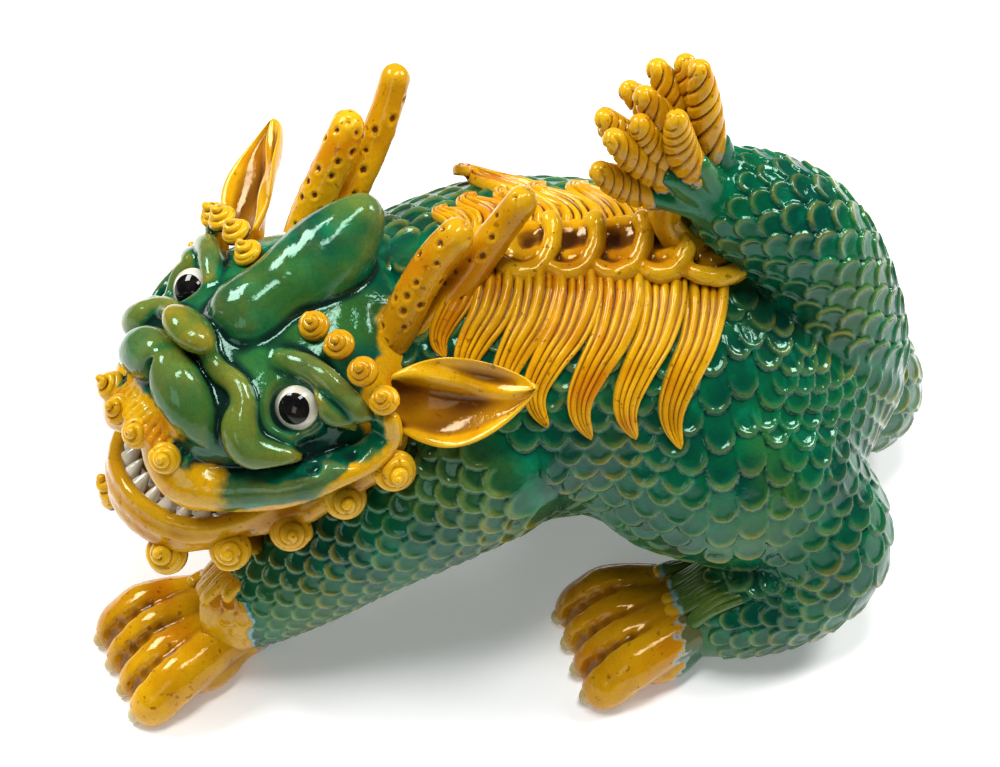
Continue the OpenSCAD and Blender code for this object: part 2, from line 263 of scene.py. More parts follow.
def unit(v):
    v = np.asarray(v, float)
    return v / np.maximum(np.linalg.norm(v, axis=-1, keepdims=True), 1e-9)


def spline(points, count):
    """Catmull-Rom curve through rows of any width, at equal steps of the row number."""
    p = np.array(points, float)
    p = np.vstack([2 * p[0] - p[1], p, 2 * p[-1] - p[-2]])
    u = np.linspace(0, len(p) - 3 - 1e-6, count)
    i = u.astype(int)
    t = (u - i)[:, None]
    a, b, c, d = p[i], p[i + 1], p[i + 2], p[i + 3]
    return 0.5 * (2 * b + (c - a) * t + (2 * a - 5 * b + 4 * c - d) * t ** 2
                  + (3 * b - a - 3 * c + d) * t ** 3)


def frames_along(path, ref):
    """Tangent, side and up at each point, with up kept near the direction ref."""
    tangent = unit(np.gradient(path, axis=0))
    up = np.asarray(ref, float) + 0 * tangent
    up = unit(up - (up * tangent).sum(1, keepdims=True) * tangent)
    side = np.cross(tangent, up)
    return tangent, side, up


def loft(rings):
    """Closed mesh through rings (n, m, 3); both ends are drawn to a point."""
    n, m, _ = rings.shape
    i, j = np.meshgrid(np.arange(n - 1), np.arange(m), indexing="ij")
    k = (j + 1) % m
    quads = np.stack([i * m + j, i * m + k, (i + 1) * m + k, (i + 1) * m + j], -1).reshape(-1, 4)
    verts = np.vstack([rings.reshape(-1, 3), rings[0].mean(0), rings[-1].mean(0)])
    j = np.arange(m)
    k = (j + 1) % m
    start, end = np.full(m, n * m), np.full(m, n * m + 1)
    low_cap = np.stack([start, k, j, start], 1)
    high_cap = np.stack([end, (n - 1) * m + j, (n - 1) * m + k, end], 1)
    return verts, np.vstack([quads, low_cap, high_cap])


def join(parts):
    verts, faces, base = [], [], 0
    for v, f in parts:
        verts.append(v)
        faces.append(f + base)
        base += len(v)
    return np.vstack(verts), np.vstack(faces)


# ---- camera, floor and light ----

AIM = (np.array([0, 0, 68.0]) + SHIFT) * MM
LOOK_DOWN = math.radians(48)
CAMERA_DISTANCE = 0.936
FLOOR_HALF = 3.0
SOFTBOXES = [("key", (-0.75, 0.35, 0.95), (0.50, 0.36), 12.5),  # name, place, size, watts
             ("window", (0.75, 0.25, 0.85), (0.30, 0.40), 9),
             ("overhead", (0.1, -0.1, 1.3), (0.7, 0.25), 10.5),
             ("front", (-0.5, -0.9, 0.6), (0.3, 0.5), 1.0)]


def point_at(ob, place, target):
    ob.location = Vector(place)
    ob.rotation_euler = (Vector(target) - Vector(place)).to_track_quat("-Z", "Y").to_euler()
    bpy.context.scene.collection.objects.link(ob)


def make_camera():
    data = bpy.data.cameras.new("camera")
    data.lens = 100
    data.sensor_width = 36
    camera = bpy.data.objects.new("camera", data)
    back = np.array([0, -math.cos(LOOK_DOWN), math.sin(LOOK_DOWN)]) * CAMERA_DISTANCE
    point_at(camera, AIM + back, AIM)
    bpy.context.scene.camera = camera


def dial(node, **inputs):
    """Sets a node's own inputs by name, with _ for a space."""
    for name, value in inputs.items():
        node.inputs[name.replace("_", " ")].default_value = value


def softbox(name, place, size, power):
    data = bpy.data.lights.new(name, "AREA")
    data.shape = "RECTANGLE"
    data.size, data.size_y = size
    data.energy = power
    point_at(bpy.data.objects.new(name, data), place, AIM)


def make_stage():
    material = bpy.data.materials.new("floor")
    material.use_nodes = True
    dial(material.node_tree.nodes["Principled BSDF"], Base_Color=(0.93, 0.93, 0.93, 1), Roughness=0.5,
         Specular_IOR_Level=0.2, Emission_Color=(1, 1, 1, 1), Emission_Strength=0.22)
    corners = [(x * FLOOR_HALF, y * FLOOR_HALF, 0) for x, y in ((-1, -1), (1, -1), (1, 1), (-1, 1))]
    mesh = bpy.data.meshes.new("floor")
    mesh.from_pydata(corners, [], [(0, 1, 2, 3)])
    mesh.materials.append(material)
    floor = bpy.data.objects.new("floor", mesh)
    bpy.context.scene.collection.objects.link(floor)
    world = bpy.data.worlds.new("studio")
    world.use_nodes = True
    dial(world.node_tree.nodes["Background"], Color=(1, 1, 1, 1), Strength=0.085)
    bpy.context.scene.world = world
    for light in SOFTBOXES:
        softbox(*light)
    bpy.context.scene.view_settings.view_transform = "Standard"


make_camera()
make_stage()


# ---- glazes ----

class Glaze:
    """Builds one procedural material; each layer covers part of the colour under it."""

    def __init__(self, name, color, coat=0.5, ior=1.5, tint=(1, 1, 1)):
        self.material = bpy.data.materials.new(name)
        self.material.use_nodes = True
        self.tree = self.material.node_tree
        self.shader = self.tree.nodes["Principled BSDF"]
        dial(self.shader, IOR=ior, Specular_Tint=(*tint, 1), Coat_Weight=coat, Coat_Roughness=0.03)
        self.place = self.node("ShaderNodeTexCoord").outputs["Object"]
        self.color = (*color, 1)

    def node(self, kind, **values):
        made = self.tree.nodes.new(kind)
        for key, value in values.items():
            setattr(made, key, value)
        return made

    def link(self, value, socket):
        if isinstance(value, bpy.types.NodeSocket):
            self.tree.links.new(value, socket)
        else:
            socket.default_value = value

    def mask(self, name):
        return self.node("ShaderNodeAttribute", attribute_name=name).outputs["Fac"]

    def texture(self, made, **inputs):
        self.link(self.place, made.inputs["Vector"])
        dial(made, **inputs)
        return made.outputs[0]

    def noise(self, scale, detail=3.0):
        return self.texture(self.node("ShaderNodeTexNoise"), Scale=scale, Detail=detail)

    def cells(self, scale):
        return self.texture(self.node("ShaderNodeTexVoronoi", feature="DISTANCE_TO_EDGE"), Scale=scale)

    def span(self, value, low, high, to_low=0.0, to_high=1.0):
        made = self.node("ShaderNodeMapRange", interpolation_type="SMOOTHSTEP")
        self.link(value, made.inputs["Value"])
        dial(made, From_Min=low, From_Max=high, To_Min=to_low, To_Max=to_high)
        return made.outputs["Result"]

    def times(self, a, b, operation="MULTIPLY"):
        made = self.node("ShaderNodeMath", operation=operation)
        self.link(a, made.inputs[0])
        self.link(b, made.inputs[1])
        return made.outputs[0]

    def layer(self, factor, color):
        """Covers the colour so far with another one, by a factor."""
        made = self.node("ShaderNodeMix", data_type="RGBA")
        self.link(factor, made.inputs["Factor"])
        self.link(self.color, made.inputs[6])
        self.link(color if isinstance(color, bpy.types.NodeSocket) else (*color, 1.0), made.inputs[7])
        self.color = made.outputs[2]

    def clouds(self, scale, detail, low, high, color, most=1.0):
        self.layer(self.span(self.noise(scale, detail), low, high, 0, most), color)

    def masked(self, name, low, high, color, most=1.0):
        self.layer(self.span(self.mask(name), low, high, 0, most), color)

    def ragged(self, name, scale, spread):
        """A mask with an uneven edge."""
        return self.times(self.mask(name), self.span(self.noise(scale), 0.3, 0.7, -spread, spread), "ADD")

    def band(self, value, low, middle, high):
        """1 near the middle of a range of the value, falling to 0 at its ends."""
        return self.times(self.span(value, low, middle), self.span(value, middle, high, 1, 0))

    def crackle(self, scale, width, color):
        self.layer(self.span(self.cells(scale), 0.0, width, 0.25, 0.0), color)

    def pitted(self, scale, cells, share):
        return self.times(self.noise(scale), self.times(self.cells(cells), share), "ADD")

    def finish(self, scale, smoothest, roughest, height, depth):
        """Roughness from clouds of one scale, and a bump of a depth in metres."""
        self.link(self.color, self.shader.inputs["Base Color"])
        roughness = self.span(self.noise(scale), 0.3, 0.7, smoothest, roughest)
        self.link(roughness, self.shader.inputs["Roughness"])
        bump = self.node("ShaderNodeBump")
        dial(bump, Strength=1.0, Distance=depth)
        self.link(height, bump.inputs["Height"])
        self.link(bump.outputs["Normal"], self.shader.inputs["Normal"])
        return self.material


def green_glaze():
    """Emerald glaze: olive where it thins on raised edges, with a painted highlight there too; dark where it
    pools, near black in the deepest grooves as painted shade; honey where they run together.
    """
    g = Glaze("green_glaze", (0.0005, 0.058, 0.034), coat=0.22, ior=1.38, tint=(0.45, 1.0, 0.75))
    g.clouds(38, 3, 0.35, 0.65, (0.001, 0.125, 0.040))
    g.clouds(95, 4, 0.48, 0.70, (0.001, 0.175, 0.080), 0.7)
    g.clouds(21, 2, 0.52, 0.68, (0.045, 0.125, 0.010), 0.6)
    # olive along the free rim of each scale: the glaze thins there, and a highlight is painted on the ridge
    under, g.color = g.color, (0.30, 0.25, 0.022, 1)
    g.clouds(60, 2, 0.4, 0.6, (0.20, 0.30, 0.085))
    rim_glaze_and_highlight, g.color = g.color, under
    rim = g.times(g.span(g.mask("rim"), 0.15, 0.95, 0, 0.8), g.span(g.noise(24, 2), 0.38, 0.66, 0.12, 0.95))
    g.layer(g.times(rim, g.span(g.noise(260), 0.25, 0.6, 0.35, 1)), rim_glaze_and_highlight)
    # darker green where the glaze pools in the scale dishes, and painted shade in the cheek hollows
    g.masked("pool_and_shade", 0.2, 0.9, (0.0006, 0.042, 0.026), 0.4)
    g.layer(g.times(g.mask("olive"), g.span(g.noise(55), 0.30, 0.60, 0.15, 0.85)), (0.090, 0.140, 0.008))
    # ochre on the olive ridges and pale yellow-green on all raised ridges: the glaze thins there, and a
    # highlight is painted
    crest = g.times(g.mask("olive"), g.span(g.mask("relief"), 0.05, 0.5))
    g.layer(g.times(crest, g.span(g.noise(70), 0.36, 0.58, 0.1, 0.95)), (0.30, 0.20, 0.010))
    ridge_thin_and_highlight = g.span(g.mask("relief"), 0.15, 0.8, 0, 0.5)
    g.layer(g.times(ridge_thin_and_highlight, g.span(g.noise(60), 0.3, 0.6, 0.25, 1)), (0.20, 0.21, 0.025))
    # darker green in grooves and near black in the deepest: pooled glaze, and painted shade
    g.masked("relief", -0.05, -0.40, (0.001, 0.036, 0.024), 0.6)
    g.masked("relief", -0.15, -0.75, (0.003, 0.012, 0.010), 0.93)
    honey = g.ragged("amber", 160, 0.12)
    g.layer(g.span(honey, 0.28, 0.62), (0.66, 0.34, 0.003))
    orange = g.times(g.span(honey, 0.55, 0.75), g.span(g.noise(70), 0.5, 0.65, 0, 0.7))
    g.layer(orange, (0.55, 0.17, 0.001))
    edge = g.times(g.band(honey, 0.28, 0.40, 0.52), g.mask("halo"))
    g.layer(g.times(edge, 0.7), (0.22, 0.48, 0.60))
    g.crackle(420, 0.05, (0.0005, 0.012, 0.008))
    return g.finish(90, 0.06, 0.15, g.pitted(180, 420, 0.25), 0.00028)


def amber_glaze():
    """Honey glaze: yellow on ridges, where it thins and a highlight is painted; orange where thick;
    purple-brown in the grooves, where it pools and shade is painted.
    """
    g = Glaze("amber_glaze", (0.55, 0.255, 0.002), coat=0.22, ior=1.40, tint=(1.0, 0.70, 0.25))
    g.clouds(70, 3, 0.35, 0.65, (0.70, 0.360, 0.004))
    g.clouds(40, 2, 0.50, 0.68, (0.52, 0.150, 0.001), 0.8)
    # yellow on ridges: the glaze thins there, and a highlight is painted
    g.masked("relief", 0.15, 0.9, (0.76, 0.46, 0.015), 0.6)
    # brown to near black in grooves: pooled glaze, and painted shade
    g.masked("relief", 0.02, -0.30, (0.30, 0.095, 0.002), 0.7)
    g.masked("relief", -0.12, -0.62, (0.060, 0.016, 0.003), 0.95)
    # dark brown where the glaze pools, and painted shade inside the mouth; also browner in the ear bowls and
    # towards the horn roots
    g.masked("pool_and_shade", 0.2, 1.0, (0.140, 0.040, 0.002), 0.85)
    run = g.ragged("green", 210, 0.2)
    g.layer(g.times(g.band(run, 0.40, 0.50, 0.60), 0.8), (0.25, 0.50, 0.60))
    g.layer(g.span(run, 0.50, 0.60), (0.001, 0.125, 0.070))
    g.clouds(420, 2, 0.63, 0.72, (0.16, 0.055, 0.003), 0.7)
    g.clouds(14, 2, 0.50, 0.66, (0.36, 0.130, 0.002), 0.45)
    g.crackle(520, 0.04, (0.16, 0.055, 0.003))
    return g.finish(120, 0.07, 0.18, g.pitted(220, 520, 0.2), 0.00025)


def thin_glaze(name, color, clouds, stain, roughness, depth, **shader):
    """A plain glaze with soft clouds, and a stain where it pools."""
    g = Glaze(name, color, **shader)
    g.clouds(*clouds)
    if stain:
        g.masked("relief", -0.1, *stain)
    return g.finish(*roughness, g.noise(300), depth)


GREEN = green_glaze(), "green_glaze"
AMBER = amber_glaze(), "amber_glaze"
CREAM = thin_glaze("cream_glaze", (0.78, 0.76, 0.66), (160, 3, 0.35, 0.7, (0.60, 0.56, 0.42)),
                   (-0.8, (0.16, 0.11, 0.03), 0.8), (120, 0.08, 0.18), 0.0001), "cream_glaze"
PUPIL = thin_glaze("black_glaze", (0.003, 0.003, 0.004), (300, 3, 0.4, 0.7, (0.012, 0.009, 0.006)),
                   None, (200, 0.03, 0.08), 0.00003, coat=0.2, ior=1.35), "cream_glaze"
CLAW = thin_glaze("claw_glaze", (0.52, 0.36, 0.10), (140, 3, 0.35, 0.65, (0.60, 0.50, 0.26)),
                  (-0.7, (0.22, 0.10, 0.01), 0.8), (120, 0.10, 0.22), 0.0001,
                  coat=0.2, ior=1.42), "cream_glaze"


def in_head(parts):
    """One solid in the figure frame from solids in the head frame."""
    verts, faces = join(parts)
    return from_head(verts), faces


def make_piece(name, solid, nodes, glaze=AMBER, masks=None, relief=1.0, passes=14, normals=None):
    """Blender object from a solid in figure-frame millimetres, with its masks on the vertices. By the relief
    mask the glazes go paler on ridges, where the glaze thins out and a highlight is painted, and darker in
    grooves, where the glaze pools and shade is painted."""
    verts, faces = solid
    values = dict(masks or {})
    if normals is None and volume(verts, faces) < 0:
        faces = np.where(faces[:, :1] == faces[:, 3:], faces[:, [0, 2, 1, 0]], faces[:, ::-1])
    if "relief" not in values:
        values["relief"] = relief_of(verts, faces, normals_of(verts, faces), passes, relief)
    mesh = bpy.data.meshes.new(name)
    sizes = np.where(faces[:, 0] == faces[:, 3], 3, 4)
    loops = faces[np.arange(4)[None, :] < sizes[:, None]]
    mesh.vertices.add(len(verts))
    mesh.vertices.foreach_set("co", ((verts + SHIFT) * MM).astype(np.float32).ravel())
    mesh.loops.add(len(loops))
    mesh.loops.foreach_set("vertex_index", loops.astype(np.int32))
    mesh.polygons.add(len(faces))
    starts = np.concatenate([[0], np.cumsum(sizes)[:-1]])
    mesh.polygons.foreach_set("loop_start", starts.astype(np.int32))
    mesh.polygons.foreach_set("use_smooth", np.ones(len(faces), bool))
    mesh.update(calc_edges=True)
    mesh.validate()
    for key, data in values.items():
        attribute = mesh.attributes.new(key, "FLOAT", "POINT")
        attribute.data.foreach_set("value", np.asarray(data, np.float32))
    if normals is not None:
        mesh.normals_split_custom_set_from_vertices(normals)
    material, slot = glaze
    ob = bpy.data.objects.new(name, mesh)
    bpy.context.scene.collection.objects.link(ob)
    ob.data.materials.append(material)
    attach(ob, "root")
    if nodes:
        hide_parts(*nodes)


# ---- green body: torso, haunches, legs and tail ----

# rows of x, y, z and three half axes
TORSO = [[-34, -2, 90, 30, 44, 38], [-2, 0, 86, 32, 58, 50], [40, 0, 87, 32, 55, 48],
         [78, 0, 80, 32, 49, 44], [103, 3, 68, 26, 40, 36]]
NECK = [[-34, -2, 90, 30, 40, 34], [-52, -12, 100, 18, 30, 30]]
HAUNCH_LEFT = [[60, -40, 74, 34, 24, 32], [86, -38, 62, 32, 24, 32]]
HAUNCH_RIGHT = [[76, 38, 72, 34, 24, 32], [103, 28.5, 62, 30, 22, 30]]
SPINE = [[10, 0, 101, 40, 18, 34], [52, 0, 99, 42, 19, 34], [76, 0, 91, 24, 20, 34]]

SCALE_WIDTH, SCALE_ROW, SCALE_HEIGHT = 9.6, 12.4, 1.5
CLOSEST_SCALES = 0.58  # of a scale's width
RING_SPACING = 0.62  # of a limb's pitch
LIMB_SCALES = {  # pitch, and the share of the limb where the rings start and stop
    "foreleg_left": (8.2, 0.0, 0.9), "foreleg_right": (8.2, 0.0, 0.9),
    "hind_leg_left": (8.6, 0.1, 0.93), "hind_leg_right": (8.6, 0.1, 0.93), "tail": (9.2, 0.05, 1.0)}
LIMBS = {  # rows of x, y, z and radius
    "foreleg_left": [[0, -40, 86, 27], [-14, -45, 77, 23.5], [-27, -50, 68, 20.5], [-46, -54, 55, 18],
                     [-64, -57, 42, 16.5], [-79, -59, 31, 14], [-89, -61, 23, 10.5], [-94, -63, 17, 6]],
    "foreleg_right": [[0, 40, 86, 27], [-8, 44, 76, 23], [-17, 45, 64, 20], [-30, 44, 50, 18],
                      [-45, 42, 38, 16.5], [-60, 39.5, 27.5, 14], [-68, 37.5, 20.5, 10.5], [-73, 37, 15, 6]],
    "hind_leg_left": [[88, -36, 64, 17], [102, -40, 50, 20.5], [107, -45, 36, 19.5], [97, -50, 25, 18],
                      [82, -55, 20, 15], [71, -57, 15.5, 11], [65, -58, 12, 7]],
    "hind_leg_right": [[102, 24, 66, 16], [117, 25, 51, 19.5], [125, 28, 37, 19], [124, 34, 25, 18],
                       [112, 40, 20, 15], [104, 43, 15.5, 11], [99, 45, 12, 7]],
    "tail": [[110, 3, 60, 19], [114, 2, 76, 18], [113, 1, 92, 17], [110, 0, 107, 16.4],
             [105, 0, 121, 16.3], [98.5, 0, 134, 16.2], [89.5, 0, 144.5, 15.6], [79, 0, 151.5, 13.6],
             [70, 0, 157, 11]],
}
TUFT_AT = np.array([69, 0, 150.0])
BODY_STEP = 1.2 if FINE else 2.0


def steps_between(stops, per=5):
    return spline(stops, (len(stops) - 1) * per + 1)


def limb_distance(p, stops):
    best = np.full(len(p), FAR)
    for a, b in zip(stops[:-1], stops[1:]):
        best = np.minimum(best, rod_gap((p - a[:3]).T, b[:3] - a[:3], a[3], b[3]))
    return best


body_eggs = np.vstack([steps_between(s) for s in (TORSO, NECK, HAUNCH_LEFT, HAUNCH_RIGHT, SPINE)])
limb_paths = {name: spline(stops, 5 * len(stops)) for name, stops in LIMBS.items()}


def model_body():
    clay = Clay((-100, -96, -2), (148, 78, 184), BODY_STEP)
    for stop in body_eggs:
        clay.egg(stop[:3], stop[3:], 5)
    for path in limb_paths.values():
        clay.string(path, 6)
    # keel along the inner side of the tail
    tail = limb_paths["tail"]
    _, _, up = frames_along(tail[:, :3], (-1, 0, 0.4))
    clay.string(tail[:, :3] + up * (tail[:, 3:] - 2.5), 3, radius=3.6)
    # green strands that hold the roots of the tuft
    for i in range(9):
        a = math.radians(92 + 7 * i)
        end = TUFT_AT + [29 * math.cos(a), 9 * math.sin(2.2 * i), 29 * math.sin(a)]
        clay.rod((73, 0.4 * end[1], 152), end, 6.0, 3.4, 1.5)
    clay.floor(1.0)
    return clay


def off_eggs(points):
    return np.min([egg_gap((points - e[:3]).T, e[3:]) for e in body_eggs], axis=0)


def subdivide(verts, faces):
    """Every face in four, through the middles of its sides and its own middle."""
    edges = edges_of(faces)
    key = edges[:, 0] * len(verts) + edges[:, 1]
    mids = verts[edges].mean(1)
    n, m = len(verts), len(edges)
    corner = []
    for i in range(4):
        a, b = faces[:, i], faces[:, (i + 1) % 4]
        low, high = np.minimum(a, b), np.maximum(a, b)
        corner.append(n + np.searchsorted(key, low * n + high))
    centre = n + m + np.arange(len(faces))
    new = [np.stack([faces[:, i], corner[i], centre, corner[i - 1]], 1) for i in range(4)]
    return np.vstack([verts, mids, verts[faces].mean(1)]), np.vstack(new)


class Buckets:
    """Finds the points near a place."""

    def __init__(self, points, size):
        self.points, self.size = points, size
        cells = np.floor(points / size).astype(int)
        self.low = cells.min(0) - 1
        self.shape = cells.max(0) - self.low + 2
        flat = np.ravel_multi_index(tuple((cells - self.low).T), self.shape)
        self.order = np.argsort(flat, kind="stable")
        self.flat = flat[self.order]

    def near(self, at, radius):
        low = np.floor((at - radius) / self.size).astype(int) - self.low
        high = np.floor((at + radius) / self.size).astype(int) - self.low
        low, high = np.maximum(low, 0), np.minimum(high, np.array(self.shape) - 1)
        found = []
        for i in range(low[0], high[0] + 1):
            for j in range(low[1], high[1] + 1):
                first = np.ravel_multi_index((i, j, low[2]), self.shape)
                a = np.searchsorted(self.flat, first)
                b = np.searchsorted(self.flat, first + high[2] - low[2] + 1)
                if b > a:
                    found.append(self.order[a:b])
        return np.concatenate(found) if found else np.zeros(0, int)


CAST_STEP = 1.5


def cast(clay, origin, direction, reach=90.0):
    """Outermost surface point along each ray."""
    t = np.arange(0, reach, CAST_STEP)
    p = origin[:, None] + direction[:, None] * t[None, :, None]
    inside = clay.sample(p) < 0
    last = inside.shape[1] - 1 - np.argmax(inside[:, ::-1], axis=1)
    lo, hi = t[last], t[last] + CAST_STEP
    for _ in range(5):
        mid = (lo + hi) / 2
        within = clay.sample(origin + direction * mid[:, None]) < 0
        lo, hi = np.where(within, mid, lo), np.where(within, hi, mid)
    return origin + direction * lo[:, None], inside.any(1)


def arc_length(points):
    return np.concatenate([[0], np.cumsum(np.linalg.norm(np.diff(points, axis=0), axis=1))])


def rows_at(at, length, rows):
    """Rows between the given ones, by length along the line."""
    return np.stack([np.interp(at, length, column) for column in rows.T], -1)


def scales_down(clay, origin, heading, odd):
    """One column of scales from the spine down the flank, in a plane along heading."""
    a = np.radians(np.arange(88, -75, -1.5))
    d = np.array(heading)[None] * np.cos(a)[:, None] + np.array([0, 0, 1.0]) * np.sin(a)[:, None]
    line, ok = cast(clay, np.tile(origin, (len(a), 1)), d)
    line = line[ok]
    length = arc_length(line)
    at = np.arange((0.5 if odd else 0) * SCALE_ROW + 2, length[-1], SCALE_ROW)
    pairs = zip(rows_at(at, length, line), rows_at(at + 2, length, line))
    return [(p, q - p, SCALE_WIDTH) for p, q in pairs if np.linalg.norm(q - p) > 0.5]


def body_scales(clay):
    """Columns along both flanks, then around the rump and around the chest."""
    xs = np.arange(-40, 84, SCALE_WIDTH / 2)
    columns = [((x, 0, 84), (0.16, side, 0), i) for side in (-1, 1) for i, x in enumerate(xs)]
    for place, end, spread, first in (((84, 0, 78), 1, 5.2, len(xs)), ((-40, -4, 84), -1, 5.6, 0)):
        for i, t in enumerate(np.radians(np.arange(0, 181, spread))):
            columns.append((place, (end * math.sin(t), -math.cos(t), 0), i + first))
    return sum([scales_down(clay, np.array(place, float), way, i % 2) for place, way, i in columns], [])


def limb_scales(clay, path, pitch, start, stop):
    """Rings of scales around a limb, each row turned by half a scale."""
    length = arc_length(path[:, :3])
    mean = np.interp(np.linspace(start, stop, 9), length / length[-1], path[:, 3]).mean()
    count = int(round(2 * math.pi * mean / pitch))
    lies_along = abs(path[0, 0] - path[-1, 0]) > 60
    frames = frames_along(path[:, :3], (0, 0.25, 1) if lies_along else (1, 0.3, 0))
    rows = np.hstack([path, *frames])
    found = []
    for i, s in enumerate(np.arange(start * length[-1], stop * length[-1], pitch * RING_SPACING)):
        row = rows_at(s, length, rows)
        at, radius, towards, side, up = row[:3], row[3], row[4:7], row[7:10], row[10:]
        a = 2 * math.pi * (np.arange(count) + 0.5 * (i % 2)) / count
        d = unit(side * np.cos(a)[:, None] + up * np.sin(a)[:, None])
        p, ok = cast(clay, np.tile(at, (count, 1)), d, radius + 9)
        found += [(q, towards, pitch * radius / mean) for q, good in zip(p, ok) if good]
    return found


def press_scales(verts, normals, scales, height):
    """Raises overlapping tongues; returns the lift and the rim and pool masks."""
    buckets = Buckets(verts, 6.0)
    lift, rim, pool_and_shade = np.zeros((3, len(verts)))
    for at, towards, width in scales:
        half_w, half_l = 0.56 * width, 0.72 * width
        near = buckets.near(at, half_l * 1.15)
        if len(near) == 0:
            continue
        closest = near[np.argmin(((verts[near] - at) ** 2).sum(1))]
        n = normals[closest]
        d = unit(towards - (towards @ n) * n)
        e = np.cross(n, d)
        q = verts[near] - at
        u, v = (q @ d) / half_l, (q @ e) / half_w
        deep = np.abs(q @ n) < half_l
        radius = np.sqrt(np.maximum(u, 0) ** 2.2 + np.abs(v) ** 2)
        inside = np.clip((1.0 - radius) / 0.07, 0, 1) * (u > -1.0) * deep * (normals[near] @ n > 0.1)
        ramp = 0.2 + 0.8 * np.clip((u + 1) / 2, 0, 1)
        edge = np.exp(-((radius - 0.80) / 0.15) ** 2) * np.clip(u + 0.25, 0, 0.5) * 2
        dish = np.clip(1 - radius ** 2, 0, 1) * np.clip(u + 0.7, 0, 1)
        size = height * width / 10
        h = size * inside * (ramp + 0.36 * edge - 0.30 * dish)
        win = h > lift[near]
        index = near[win]
        lift[index] = h[win]
        crescent = np.exp(-((radius - 0.76) / 0.26) ** 2) * np.clip(1.2 * u + 0.1, 0, 1)
        rim[index] = (crescent * inside)[win]
        pool_and_shade[index] = (dish * inside)[win]
    return lift, rim, pool_and_shade


def split(verts, faces, normals, label, masks, wanted):
    """The faces of one label as a closed piece: each open edge loop is capped inside."""
    face_label = label[faces]
    low_mid = np.sort(face_label, axis=1)[:, 1]
    own = faces[low_mid == wanted]
    used, index = np.unique(own, return_inverse=True)
    own = index.reshape(own.shape)
    v, n = verts[used], normals[used]
    values = {key: data[used] for key, data in masks.items()}
    directed = np.vstack([np.stack([own[:, i], own[:, (i + 1) % 4]], 1) for i in range(4)])
    size = len(used)
    code = directed[:, 0] * size + directed[:, 1]
    twin = directed[:, 1] * size + directed[:, 0]
    border = directed[~np.isin(code, twin)]
    follow = {a: b for a, b in border}
    caps, extra_v, extra_n = [], [], []
    base = size
    while follow:
        first = next(iter(follow))
        loop = [first]
        here = follow.pop(first)
        while here != first and here in follow:
            loop.append(here)
            here = follow.pop(here)
        if len(loop) < 3:
            continue
        points = v[loop]
        centre = points.mean(0)
        across = -unit(np.cross(points - centre, np.roll(points, -1, 0) - centre).sum(0))
        k = len(loop)
        extra_v.append(np.vstack([points, centre]))
        extra_n.append(np.tile(across, (k + 1, 1)))
        i = np.arange(k)
        caps.append(np.stack([base + (i + 1) % k, base + i, np.full(k, base + k), base + (i + 1) % k], 1))
        base += k + 1
    values = {key: np.concatenate([data, np.full(base - size, -1.0 if key == "relief" else 0.0)])
              for key, data in values.items()}
    return np.vstack([v] + extra_v), np.vstack([own] + caps), np.vstack([n] + extra_n), values


# ---- head ----

SKULL = [[-34, 0, 4, 34, 40, 36], [-14, 0, -4, 26, 44, 26], [2, 0, -16, 22, 34, 18], [11, 0, -22, 13, 25, 13]]
HEAD_STEP = 0.75 if FINE else 1.3
LIP = [[18, 9, -37, 6.0], [14, 17, -39.5, 7.2], [9, 25, -37, 6.4], [3, 33, -31, 5.5], [-3, 41, -24, 5.0],
       [-8, 46, -17, 4.6], [-12, 49, -10, 4.2], [-18, 51.5, -3, 3.6], [-21, 51, 4, 3.2], [-17, 51, 12, 3.0]]
LIP_EDGE = [[14, 9, -39, 3.2], [12, 18, -45, 4.0], [6, 26, -41, 3.0], [0, 38, -33, 2.2], [-5, 45, -25, 2],
            [-8, 49, -18, 2], [-12, 52.5, -11, 2], [-18, 55, -3, 2], [-22, 54, 5, 2], [-17, 54, 13, 2]]
FOLD = [[21, 4, 3, 2.2], [19, 12, -1, 2.6], [15.5, 20, -1.5, 2.7], [14.5, 25.5, -5, 3.0], [15, 29, -11, 4.6],
        [12, 33, -15.5, 5.2], [6, 37.5, -15, 4.2], [-1, 42, -12, 1.8]]
BROW = [[4, 21, 10, 2.2], [0.5, 30, 13, 2.9], [-5, 39, 12, 3.0], [-12, 47, 8.5, 2.6]]
LID = [[1, 37, 7, 2.4], [-5, 43, 5, 2.6], [-13, 48, 2, 1.6]]
NOSE_WING = [[28, 3, -8, 6.4], [26, 9.5, -11.5, 8.0], [22, 16, -16, 7.0], [18.5, 20.5, -19.5, 4.0],
             [17, 22.5, -21.5, 1.6]]
CROWN = [[4, 0, 11.5, 12.6], [-3, 0, 21, 10.8], [-11, 0, 30, 12.8], [-16, 0, 39, 12.6], [-18.5, 0, 47, 9.2],
         [-19.5, 0, 53.5, 5.8]]
JAW_SIDE = [[15, 0, -58], [12, 13, -57.5], [5.5, 23, -54.5], [-3, 30, -46.5], [-13, 34, -35], [-24, 37, -22]]
JAW_HINGE = [[-16, 33, -39, 4.5], [-23, 36, -30, 6], [-28, 38, -22, 8]]
RUFF = [[2, 8, -65, 3.6], [-6, 22, -57.5, 3.8], [-14, 31, -45, 4.2], [-20, 39, -33, 4.6], [-24, 45, -20, 5],
        [-27, 49, -8, 5.2], [-29, 48, 2, 5]]
EYE_RADIUS = 8.5
GAZE = {1: (0.86, 0.49, 0.14), -1: (0.90, 0.28, 0.15)}
SIDES = (1, -1)
WORDS = ((1, "left"), (-1, "right"))


def mirrored(stops, side):
    return np.array(stops, float) * [1, side, 1, 1][:len(stops[0])]


